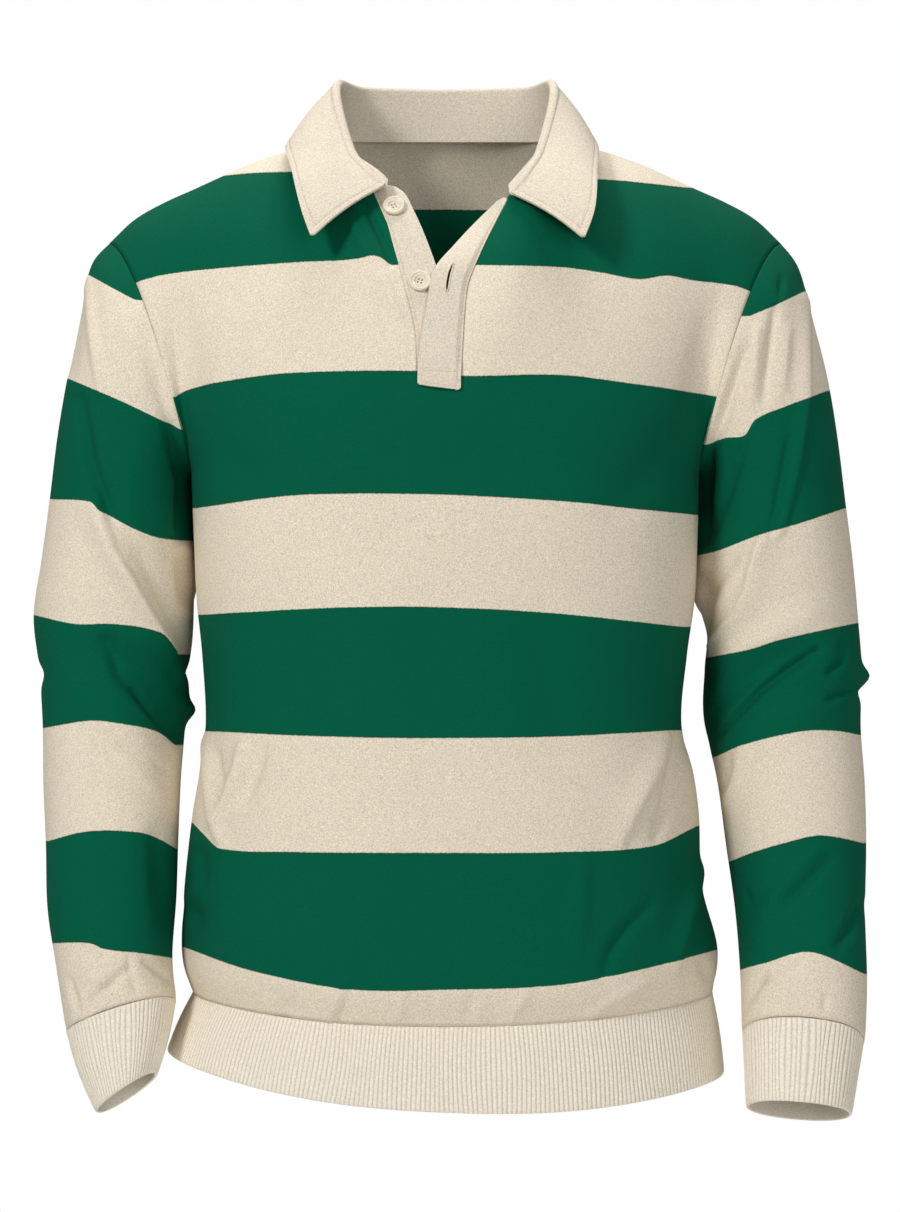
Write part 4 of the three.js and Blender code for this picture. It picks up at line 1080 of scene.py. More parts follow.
@dataclass
class BodyPanel:
    """The front or the back, from the waistband's seam to the shoulder seams."""

    form: TorsoForm
    is_front: bool
    creases: tuple[Crease, ...]
    cloth: float = 2.0
    low_rows: int = 120
    yoke_rows: int = 86
    shoulder_cells: int = 62
    neck_cells: int = 24
    crease_strength: float = 2
    gap_cells: int = 12
    half_width: float = 245
    yoke_height: float = 250
    seam_dip: float = 0.4
    seam_reach: float = 3.2
    side_calm: float = 24
    soft_reach: float = 0.12
    soft_passes: int = 160
    shoulder_x: float = 95
    shoulder_spread: float = 50
    shoulder_z: float = -75
    shoulder_rise: float = 15
    levels: list[float] = field(default_factory=list)

    def __post_init__(self) -> None:
        """Sets the rows' levels, with one on the placket's foot."""
        foot = self.form.placket_foot
        below = round(self.yoke_rows * foot)
        self.levels = [j / self.low_rows - 1 for j in range(self.low_rows)]
        self.levels += [foot * j / below for j in range(below)]
        above = self.yoke_rows - below
        self.levels += [mix(foot, 1, j / above) for j in range(above + 1)]
        self.foot_row = self.low_rows + below

    def half_shares(self, inner: float) -> list[float]:
        """Shares along a half row: the shoulder's cells, then the neck's in to a share."""
        bend = (1 - self.form.neck_share) / (1 - inner)
        shares = [i / self.shoulder_cells * bend for i in range(self.shoulder_cells + 1)]
        return shares + [mix(bend, 1, i / self.neck_cells) for i in range(1, self.neck_cells + 1)]

    def front_across(self) -> list[list[float]]:
        """The share across the front of each row's points."""
        form = self.form
        side = 1 - form.half_gap / self.half_width
        ends = {hand: abs(form.gap_edge(1, hand)) for hand in Side}
        right = self.half_shares(ends[Side.RIGHT])
        left = self.half_shares(ends[Side.LEFT])[::-1]
        table = []
        for level in self.levels:
            edge = max(level, form.placket_foot)
            inner = {}
            for hand in Side:
                inner[hand] = form.gap_edge(edge, hand)
                if level < form.placket_foot:
                    x = form.point(inner[hand], edge, True).x
                    inner[hand] = form.across_at(x, level)
            row = [mix(-side, inner[Side.RIGHT], share) for share in right]
            for k in range(1, self.gap_cells):
                row.append(mix(inner[Side.RIGHT], inner[Side.LEFT], k / self.gap_cells))
            row += [mix(side, inner[Side.LEFT], share) for share in left]
            table.append(row)
        return table

    def back_across(self) -> list[list[float]]:
        """The share across the back of each row's points, from the wearer's left."""
        side = 1 - self.form.half_gap / self.half_width
        shares = self.half_shares(0)
        row = [mix(side, 0, share) for share in shares]
        row += [-across for across in row[-2::-1]]
        return [row for _ in self.levels]

    def has_cloth(self, i: int, j: int) -> bool:
        """Whether a cell has cloth: all but the placket's gap."""
        first = self.shoulder_cells + self.neck_cells
        return not (self.is_front and j >= self.foot_row and first <= i < first + self.gap_cells)

    def dips(self, across: np.ndarray) -> np.ndarray:
        """How far the cloth sinks along its seams."""
        level = np.array(self.levels)[:, None] * np.ones_like(across)
        to_side = (1 - np.abs(across)) * self.half_width
        to_top = (1 - level) * self.yoke_height
        nearest = np.minimum(to_side, to_top)
        return -self.seam_dip * np.exp(-((nearest / self.seam_reach) ** 2))

    def soften(self, grid: ClothGrid, across: np.ndarray) -> None:
        """Evens out the yoke below the neck's corners, where the form bends sharply."""
        level = np.array(self.levels)[:, None]
        near = np.exp(-(((np.abs(across) - self.form.neck_share) / self.soft_reach) ** 2))
        share = near * np.clip((1 - level) / self.soft_reach, 0, 1) * np.clip(level * 4, 0, 1)
        share = share[:, 1:-1, None] / 2
        for _ in range(self.soft_passes):
            p = grid.points
            p[:, 1:-1] += share * ((p[:, :-2] + p[:, 2:]) / 2 - p[:, 1:-1])

    def near_shoulder(self, x: np.ndarray, z: np.ndarray) -> np.ndarray:
        """How far the back's stripes follow the front's, so that they meet at the shoulder seams."""
        outward = np.clip((np.abs(x) - self.shoulder_x) / self.shoulder_spread, 0, 1)
        return outward * np.clip((z - self.shoulder_z) / self.shoulder_rise, 0, 1)

    def build(self) -> bpy.types.Object:
        """Makes the panel's mesh."""
        across = np.array(self.front_across() if self.is_front else self.back_across())
        grid = ClothGrid(
            across.shape[1],
            across.shape[0],
            lambda i, j: self.form.point(float(across[j, i]), self.levels[j], self.is_front),
            has=self.has_cloth,
        )
        self.soften(grid, across)
        chart = BODY_STRIPES
        if self.is_front:
            x, z = chart.seen(grid.points)
            shows = np.ones_like(x)
        else:
            x, z = grid.points[..., 0], grid.points[..., 2]
            shows = self.near_shoulder(x, z)
        marks = chart.marks(x, z, shows)
        calm = np.clip((1 - np.abs(across)) * self.side_calm, 0, 1)
        folds = crease_heights(self.creases, x, z) * self.crease_strength
        grid.raise_by(folds * calm + self.dips(across))
        name = "front_cloth" if self.is_front else "back_cloth"
        piece = grid.make(name, {"stripe": marks})
        thicken(piece, self.cloth)
        return piece

    def dress(self, finish: bpy.types.Material) -> bpy.types.Object:
        """Builds the panel, dresses it and hides the solid that it stands for."""
        piece = attach(self.build(), finish, "front" if self.is_front else "back")
        return piece


@dataclass
class Sleeve:
    """A set-in sleeve from the armhole to the cuff's seam."""

    form: TorsoForm
    side: Side
    table: Course
    folds: tuple[Crease, ...]
    creases: tuple[Crease, ...]
    chart: StripeChart
    area: float
    cloth: float = 2.0
    columns: int = 176
    rows: int = 226
    crease_strength: float = 2.3
    last_row: int = 14
    power: float = 0.92
    cap_rows: int = 4
    length: float = 560
    girth: float = 370
    seam_dip: float = 0.4
    seam_reach: float = 3.4
    clear: float = -0.1
    lay_gap: float = 0.35
    lay_reach: float = 7
    lay_fade: float = 8
    tuck_under: float = 2.7
    tuck_in: float = 4
    tuck_least: float = 0.12
    tuck_z: float = -175
    tuck_fade: float = 30
    first_place: float = 0.006
    hem_reach: float = 0.18
    cap_ease: float = 0.35
    cap_near: float = 0.5
    cap_more: float = 0.36
    cap_calm: float = 18
    cuff_calm: float = 60
    gather_calm: float = 90
    parting_z: ClassVar[dict[Side, float]] = {Side.RIGHT: -322, Side.LEFT: -332}

    def armhole(self, turn: float) -> Vector:
        """A point of the armhole, by share round it: 0 at the shoulder, 0.5 at the underarm."""
        is_front = turn <= 0.5
        up = 1 - 2 * turn if is_front else 2 * turn - 1
        return self.form.yoke_point(self.side.value, mix(up, ease(up), self.cap_ease), is_front)

    def ring(self, row: SimpleNamespace, turn: float) -> Vector:
        """A point of a ring, which is tilted up in front by its row's degrees."""
        return tube_ring(row, turn, self.side, self.power)

    def plain_point(self, place: float, turn: float) -> Vector:
        """A point of the sleeve without folds; place counts the table's rows."""
        at = self.ring(self.table.at(place), turn)
        fade = clamp(1 - place / self.cap_rows) ** 2
        if fade > 0:
            at += (self.armhole(turn) - self.ring(self.table.at(0), turn)) * fade
        return at

    def fold_heights(self, down: np.ndarray, turn: np.ndarray) -> np.ndarray:
        """How far the folds raise each place, given by its shares down and round the sleeve."""
        calm = ease(np.clip((1 - down) * 12, 0, 1)) * ease(np.clip(down * 5, 0, 1))
        calm_gathers = np.clip((1 - down) * self.gather_calm, 0, 1)
        total = np.zeros(np.broadcast(down, turn).shape)
        for folds, share in ((self.folds, calm), (BACK_GATHERS, calm_gathers)):
            for fold in folds:
                middle = (fold.path[0][0] + fold.path[-1][0]) / 2
                near = (turn - np.round(turn - middle)) * self.girth
                path = tuple((around * self.girth, at * self.length) for around, at in fold.path)
                real = Crease(path, fold.wide, fold.high, fold.other)
                total += crease_heights((real,), near, down * self.length) * share
        return total

    def lay_on_body(self, grid: ClothGrid) -> None:
        """Brings the inner side up to the body, from the underarm down to where they part."""
        z = grid.points[..., 2]
        away = np.abs(grid.points[..., 0])
        body = self.form.side_reach(self.side, grid.points[..., 1], z)
        room = away - body - self.lay_gap
        least = room.min(axis=1, keepdims=True)
        above = z - self.parting_z[self.side] + self.lay_fade
        share = np.clip(above / (2 * self.lay_fade), 0, 1)
        share = share * np.clip((self.form.underarm + 2 - z) / 5, 0, 1)
        share = share * np.exp(-(((room - least) / self.lay_reach) ** 2))
        grid.points[..., 0] -= self.side.value * least * share

    def tuck(self, grid: ClothGrid, mark: np.ndarray) -> np.ndarray:
        """Adds the seam allowance that goes in under the panels at the armhole.

        Args:
            grid: The sleeve's grid, whose last row lies on the armhole.
            mark: The stripe mark of each of the grid's points.

        Returns:
            The marks with those of the new rows.
        """
        edge = grid.points[-1]
        share = mix(self.tuck_least, 1, np.clip((edge[:, 2:] - self.tuck_z) / self.tuck_fade, 0, 1))
        under = edge - grid.normals()[-1] * self.tuck_under * share
        inside = under - share * np.array((self.side.value * self.tuck_in, 0, 0))
        grid.points = np.concatenate([grid.points, under[None], inside[None]])
        grid.has = np.ones((len(grid.points) - 1, grid.cells), bool)
        return np.concatenate([mark, mark[-1:], mark[-1:]])

    def build(self) -> bpy.types.Object:
        """Makes the sleeve's mesh."""
        places = [
            mix(self.last_row, self.first_place, j / (self.rows - 1)) for j in range(self.rows)
        ]
        turns = [i / self.columns for i in range(self.columns)]
        if self.side is Side.LEFT:
            turns = [(1 - turn) % 1 for turn in turns]
        grid = ClothGrid(
            self.columns, self.rows, lambda i, j: self.plain_point(places[j], turns[i]), wraps=True
        )
        down = np.array(places)[:, None] / self.last_row
        turn = np.array(turns)[None, :]
        x, z = self.chart.seen(grid.points)
        marks = self.chart.marks(x, z, np.broadcast_to(turn <= 0.5, x.shape))
        in_view = np.clip(np.sin(math.tau * turn) * 4, 0, 1)
        ends = np.clip(down * self.cap_calm, 0, 1)
        ends = ends * np.clip((1 - down) * self.cuff_calm, 0, 1)
        heights = self.fold_heights(down, turn)
        seen = crease_heights(self.creases, x, z) * self.crease_strength
        heights = heights + seen * in_view * ends
        to_cuff = (1 - down) * self.length
        nearer = self.cap_near + self.cap_more * (1 - np.abs(2 * turn - 1))
        to_cap = down * self.length * nearer
        nearest = np.minimum(to_cuff, to_cap)
        heights = heights - self.seam_dip * np.exp(-((nearest / self.seam_reach) ** 2))
        grid.raise_by(heights)
        self.lay_on_body(grid)
        hem = grid.points[0] - grid.points[1]
        grid.points[0] += hem / np.linalg.norm(hem, axis=1, keepdims=True) * self.hem_reach
        grid.points[..., 0] += self.side.value * self.clear * np.exp(-((to_cap / 2) ** 2))
        marks = self.tuck(grid, marks)
        piece = grid.make(f"sleeve_{self.side.name.lower()}_cloth", {"stripe": marks})
        thicken(piece, self.cloth)
        return piece

    def dress(self, finish: bpy.types.Material) -> bpy.types.Object:
        """Builds the sleeve, dresses it and hides the solid that it stands for."""
        piece = attach(self.build(), finish, f"sleeve_{self.side.name.lower()}")
        return piece


def tube_ring(row: SimpleNamespace, turn: float, side: Side, power: float) -> Vector:
    """A point of a sleeve's or cuff's ring.

    Args:
        row: The ring's sizes.
        turn: Share round it: 0 on the outer side, 0.25 in front, 0.5 inside.
        side: Whose arm it is.
        power: The bend of the ring's superellipse.

    Returns:
        The point in millimetres.
    """
    angle = 2 * math.pi * turn
    tilt = math.radians(row.tilt)
    outward = (signed_power(math.cos(angle), power) + 1) / 2
    ahead = row.deep * signed_power(math.sin(angle), power)
    return Vector((
        side.value * mix(row.in_x, row.out_x, outward),
        row.mid_y - ahead * math.cos(tilt),
        mix(row.in_z, row.out_z, outward) + ahead * math.sin(tilt),
    ))


@dataclass
class RibBand:
    """A ribbed band: a folded knit tube with raised ribs outside and a plain inside."""

    name: str
    node: str
    ribs: int
    ring_at: Callable[[float, float], Vector]
    flat: tuple[float, float]
    area: float
    hangs_from: tuple[str, ...]
    rib_steps: int = 8
    rib_high: float = 0.7
    cloth: float = 1.8
    bulge: float = 1.2
    lean: float = 0.5
    plain_painted_shade: float = 0.75
    outer_shares: tuple[float, ...] = (0.96, 0.88, 0.74, 0.58, 0.42, 0.26, 0.12, 0.04)
    inner_shares: tuple[float, ...] = (0.15, 0.4, 0.7, 0.985)
    edge_rows: ClassVar[tuple[tuple[float, float, float], ...]] = ((1, 0.9, 0.35), (0.99, 0.25, 0.8))
    seam_rows: ClassVar[tuple[tuple[float, float, float], ...]] = (
        (-0.003, -0.25, 0.6), (-0.01, 2.4, 0), (-0.06, 2.6, 0), (-0.06, 4.2, 0),
    )
    edge_round: float = 0.6

    def profile(self) -> list[tuple[float, float, float]]:
        """Rows round the band's wall: share down it, depth from its outer face, strength of ribs."""
        deep = self.rib_high + self.cloth
        return [
            *self.edge_rows,
            *((share, 0, 1) for share in self.outer_shares),
            *self.seam_rows,
            *((share, deep, 0) for share in self.inner_shares),
            (1, deep - self.edge_round, 0),
            self.edge_rows[0],
        ]

    def build(self) -> bpy.types.Object:
        """Makes the band's mesh."""
        count = self.ribs * self.rib_steps
        rows = self.profile()
        turn = np.arange(count) / count
        wave = np.sin(turn * math.tau * 7) * 0.5 + np.sin(turn * math.tau * 17 + 1.3) * 0.5

        def point_at(i: int, j: int) -> Vector:
            """A point of the band's plain face, with its ribs leaning a little to and fro."""
            share = rows[j][0]
            shift = self.lean * wave[i] * math.sin(math.pi * clamp(share)) / self.ribs
            return self.ring_at((turn[i] + shift) % 1, share)

        grid = ClothGrid(count, len(rows), point_at, wraps=True)
        shares = np.array([row[0] for row in rows])[:, None]
        depth = np.array([row[1] for row in rows])[:, None]
        strength = np.array([row[2] for row in rows])[:, None]
        ridge = np.sqrt(np.abs(np.sin(np.pi * np.arange(count) / self.rib_steps)))[None, :]
        outer = ClothGrid(count, 3, lambda i, j: self.ring_at(turn[i], 1 - j / 2), wraps=True)
        outward = outer.normals()[1][None, :, :]
        height = (ridge - 1) * self.rib_high * strength - depth
        height = height + self.bulge * np.sin(np.pi * np.clip(shares, 0, 1))
        grid.points = grid.points + outward * height[..., None]
        # A mark from 0 in a rib's groove to 1 on its ridge, which the finish turns into painted shade in
        # the grooves and a faint painted highlight on the ridges; the plain rows get a middling painted
        # shade.
        rib = np.where(strength > 0, 1 - (1 - ridge) * strength, self.plain_painted_shade)
        return grid.make(self.name, {"rib": rib}, loops=True)

    def dress(self, finish: bpy.types.Material) -> bpy.types.Object:
        """Builds the band, dresses it and hides the solid that it stands for."""
        piece = attach(self.build(), finish, self.node)
        return piece


def waistband(form: TorsoForm) -> RibBand:
    """The ribbed waistband, from the body's lowest ring to its own edge."""
    top = SimpleNamespace(**vars(BODY.at(form.waist_seam)))
    top.z -= 2 * form.half_gap

    def ring_at(turn: float, share: float) -> Vector:
        """A point of the band: turn 0 to 0.5 crosses the front, share runs down."""
        is_front = turn < 0.5
        across = 4 * turn - 1 if is_front else 3 - 4 * turn
        low = form.ring_point(WAISTBAND_EDGE, across, is_front)
        return form.ring_point(top, across, is_front).lerp(low, share)

    return RibBand(
        "waistband_rib", "waistband", 336, ring_at, (1.08, 0.062), 0.064, ("front_cloth", "back_cloth")
    )


def cuff(side: Side, table: Course, area: float) -> RibBand:
    """A ribbed cuff, from the sleeve's seam to its own edge."""

    def ring_at(turn: float, share: float) -> Vector:
        """A point of the cuff: share runs down from its seam."""
        around = 1 - turn if side is Side.LEFT else turn
        return tube_ring(table.at(share * table.places[-1]), around, side, Sleeve.power)

    hand = side.name.lower()
    return RibBand(
        f"cuff_{hand}_rib", f"cuff_{hand}", 72, ring_at, (0.22, 0.066), area, (f"sleeve_{hand}_cloth",)
    )


@dataclass
class Topstitch:
    """A line of sewing that shows: one bead of thread for each stitch."""

    name: str
    stitch: float = 2.6
    gap: float = 0.7
    thread: float = 0.42

    def sew(self, lines: Sequence[Sequence[tuple[Vector, Vector]]]) -> bpy.types.Object:
        """Makes the stitches along lines of (point, outward direction) in millimetres."""
        bm = bmesh.new()
        for line in lines:
            points = [point for point, _ in line]
            lengths = [0.0]
            for a, b in zip(points, points[1:]):
                lengths.append(lengths[-1] + (b - a).length)
            start = self.gap
            while start + self.stitch < lengths[-1]:
                self.bead(bm, line, lengths, start)
                start += self.stitch + self.gap
        return finish_mesh(bm, self.name)

    def bead(
        self,
        bm: bmesh.types.BMesh,
        line: Sequence[tuple[Vector, Vector]],
        lengths: Sequence[float],
        start: float,
    ) -> None:
        """Adds one stitch that starts a length along a line."""

        def at(length: float) -> tuple[Vector, Vector]:
            """The line's point and direction out at a length along it."""
            k = min(max(bisect.bisect_left(lengths, length) - 1, 0), len(lengths) - 2)
            t = (length - lengths[k]) / max(lengths[k + 1] - lengths[k], 1e-9)
            return line[k][0].lerp(line[k + 1][0], t), line[k][1].lerp(line[k + 1][1], t)

        a, _ = at(start)
        b, _ = at(start + self.stitch)
        middle, out = at(start + self.stitch / 2)
        run = (b - a).normalized()
        out = (out - run * out.dot(run)).normalized()
        turn = Matrix((run, out.cross(run), out)).transposed().to_4x4()
        size = Matrix.Diagonal((self.stitch / 2, self.thread / 2, self.thread / 2, 1))
        place = Matrix.Translation((middle + out * self.thread * 0.2) * MM)
        bmesh.ops.create_uvsphere(
            bm, u_segments=8, v_segments=6, radius=MM, matrix=place @ turn @ size @ LIE_DOWN
        )


LIE_DOWN = Matrix.Rotation(math.pi / 2, 4, "Y")


@dataclass
class PlacketStrip:
    """One of the placket's two strips, from its seam on the gap's edge to its free edge."""

    form: TorsoForm
    side: Side
    table: Course
    low: float
    high: float
    raised: float
    inset: float
    sunk: float = 0
    sunk_reach: float = 5
    cloth: float = 1.8
    bow: float = 0.3
    columns: int = 46
    rows: int = 124
    width: float = 30
    slit_low: float = 0.5
    slit_high: float = 0.645
    slit_share_low: float = 0.515
    slit_share_high: float = 0.575
    slit_cells: int = 4
    foot_tilt: float = 2.1
    foot_round: float = 2.2
    foot_lines: tuple[float, float] = (2.5, 12)
    length: float = 135
    sunk_rise: float = 0.12
    slit_middle: float = 0.54
    slit_pull: float = 0.4
    ring_steps: int = 160
    ring_sides: int = 8
    ring_aside: float = 1.55
    ring_ply: float = 0.62
    groove_wide: float = 0.8
    groove: float = 0.3
    stitch_in: float = 2.6
    known: dict[float, tuple[Vector, Vector]] = field(default_factory=dict)

    def seam(self, up: float) -> tuple[Vector, Vector]:
        """The strip's seam and the direction out of the front there."""
        level = mix(self.form.placket_foot, 1, up)
        across = self.form.gap_edge(level, self.side)
        normal = self.form.normal(across, level, True)
        return self.form.point(across, level, True) + normal * self.raised, normal

    def point(self, up: float, share: float) -> Vector:
        """A point of the strip's outer face; share is 0 at its seam and 1 at its free edge."""
        start, normal = self.seam_of(up)
        row = self.table.at(up)
        free = Vector((row.x, row.y, row.z)) + normal * self.raised
        start = start + Vector((-self.side.value * self.inset, 0, 0))
        sink = self.sunk * (1 - ease(clamp(share * self.width / self.sunk_reach)))
        sink *= ease(clamp(up / self.sunk_rise))
        out = self.bow * math.sin(math.pi * share) - sink
        at = start.lerp(free, share) + normal * out
        if self.side is Side.LEFT:
            short = clamp(1 - (up - self.low) * self.length / self.foot_round)
            inner = self.foot_round * (1 - math.sqrt(1 - short * short))
            at = at.lerp(start.lerp(free, 0.5), clamp(2 * inner / self.width) * abs(2 * share - 1))
            at.z += self.foot_tilt * (2 * share - 1) * (1 - ease(clamp((up + 0.06) / 0.14)))
        return at

    def seam_of(self, up: float) -> tuple[Vector, Vector]:
        """The seam at a height, worked out once."""
        if up not in self.known:
            self.known[up] = self.seam(up)
        return self.known[up]

    def normal(self, up: float, share: float) -> Vector:
        """The outward direction of the strip at a point."""
        run = self.point(up, share + 0.02) - self.point(up, share - 0.02)
        climb = self.point(up + 0.01, share) - self.point(up - 0.01, share)
        return run.cross(climb).normalized() * -self.side.value

    def slit_share(self, up: float) -> float:
        """Where the buttonhole lies across the strip at a height."""
        t = (up - self.slit_low) / (self.slit_high - self.slit_low)
        return mix(self.slit_share_low, self.slit_share_high, t)

    def build(self) -> bpy.types.Object:
        """Makes the strip's mesh, with its buttonhole cut through on the upper strip."""
        is_upper = self.side is Side.LEFT
        ups = [mix(self.low, self.high, j / (self.rows - 1)) for j in range(self.rows)]
        cells = self.columns - 1

        def share_of(i: int, j: int) -> float:
            """A column's share across, drawn over so that columns run along the buttonhole."""
            if not is_upper:
                return i / cells
            share = 1 - i / cells
            pull = clamp(1 - abs(share - self.slit_middle) / self.slit_pull)
            return share + (self.slit_share(ups[j]) - self.slit_middle) * ease(pull)

        def has_cloth(i: int, j: int) -> bool:
            """Whether a cell has cloth: all but the buttonhole."""
            if not is_upper or not self.slit_low < ups[j] < self.slit_high:
                return True
            away = abs(1 - (i + 0.5) / cells - self.slit_middle)
            return away > self.slit_cells / 2 / cells + 1e-6

        grid = ClothGrid(
            self.columns, self.rows, lambda i, j: self.point(ups[j], share_of(i, j)), has=has_cloth
        )
        share = np.array([[share_of(i, j) for i in range(self.columns)] for j in range(self.rows)])
        line = np.abs(share * self.width - self.stitch_in)
        heights = -self.groove * np.exp(-((line / self.groove_wide) ** 2))
        if is_upper:
            climb = (np.array(ups)[:, None] - self.low) * self.length * np.ones_like(share)
            for height in self.foot_lines:
                heights -= self.groove * np.exp(-(((climb - height) / self.groove_wide) ** 2))
        grid.raise_by(heights)
        piece = grid.make("placket_hole_strip_cloth" if is_upper else "placket_button_strip_cloth")
        thicken(piece, self.cloth, round_edges=True)
        return piece

    def line(self, share: float, low: float, high: float) -> list[tuple[Vector, Vector]]:
        """A line of sewing up the strip, at a share across it."""
        ups = [mix(low, high, k / 60) for k in range(61)]
        return [(self.point(up, share), self.normal(up, share)) for up in ups]

    def cross_line(self, up: float) -> list[tuple[Vector, Vector]]:
        """A line of sewing across the strip, at a height up it."""
        shares = [mix(0.09, 0.93, k / 12) for k in range(13)]
        return [(self.point(up, share), self.normal(up, share)) for share in shares]

    def buttonhole(self) -> bpy.types.Object:
        """Makes the overcast thread round the buttonhole: a ring of close stitches."""
        middle = (self.slit_low + self.slit_high) / 2
        half = (self.slit_high - self.slit_low) / 2

        def point_at(i: int, j: int) -> Vector:
            """A point of the thread ring: i counts round the slit and j round the thread."""
            angle = math.tau * i / self.ring_steps
            up = middle + (half + 0.006) * signed_power(math.cos(angle), 0.75)
            aside = self.ring_aside * signed_power(math.sin(angle), 0.9)
            share = self.slit_share(up) + aside / self.width
            out = self.normal(up, share)
            across = self.point(up, share + 0.02) - self.point(up, share - 0.02)
            climb = self.point(up + 0.01, share) - self.point(up - 0.01, share)
            away = across.normalized() * math.sin(angle) + climb.normalized() * math.cos(angle)
            ply = self.ring_ply + 0.1 * math.cos(math.pi * i)
            turn = -math.tau * j / self.ring_sides
            return self.point(up, share) + (away * math.cos(turn) + out * math.sin(turn)) * ply

        ring = ClothGrid(self.ring_steps, self.ring_sides + 1, point_at, wraps=True)
        return ring.make("buttonhole_thread", loops=True)


@dataclass
class Placket:
    """The half-open placket: two strips, their sewing and the buttonhole."""

    form: TorsoForm
    cloth: float = 1.8
    gap: float = 0.3

    def strips(self) -> tuple[PlacketStrip, PlacketStrip]:
        """The under strip, which carries the buttons, and the upper one with the buttonhole."""
        under = PlacketStrip(
            self.form, Side.RIGHT, BUTTON_STRIP, 0.01, 0.97, -0.05, self.gap / 10
        )
        upper = PlacketStrip(
            self.form, Side.LEFT, HOLE_STRIP, -0.06, 0.96, self.cloth + 2 * self.gap, 0, sunk=1.7
        )
        return under, upper

    def dress(self, finish: bpy.types.Material, thread: bpy.types.Material) -> PlacketStrip:
        """Builds and dresses the strips, and returns the under one for the buttons."""
        under, upper = self.strips()
        inset = under.stitch_in / under.width
        under_sewing = Topstitch("placket_button_strip_topstitch").sew([under.line(inset, 0.03, 0.95)])
        upper_sewing = Topstitch("placket_hole_strip_topstitch").sew([
            upper.line(inset, -0.04, 0.94),
            upper.line(1 - inset, -0.04, 0.03),
            upper.cross_line(-0.042),
            upper.cross_line(0.03),
        ])
        hole = upper.buttonhole()
        for sewing in (under_sewing, upper_sewing, hole):
            attach(sewing, thread)
        for strip, node, area, sewing in (
            (under, "placket_button_strip", 0.0036, [under_sewing]),
            (upper, "placket_hole_strip", 0.004, [upper_sewing, hole]),
        ):
            piece = attach(strip.build(), finish, node)
        return under


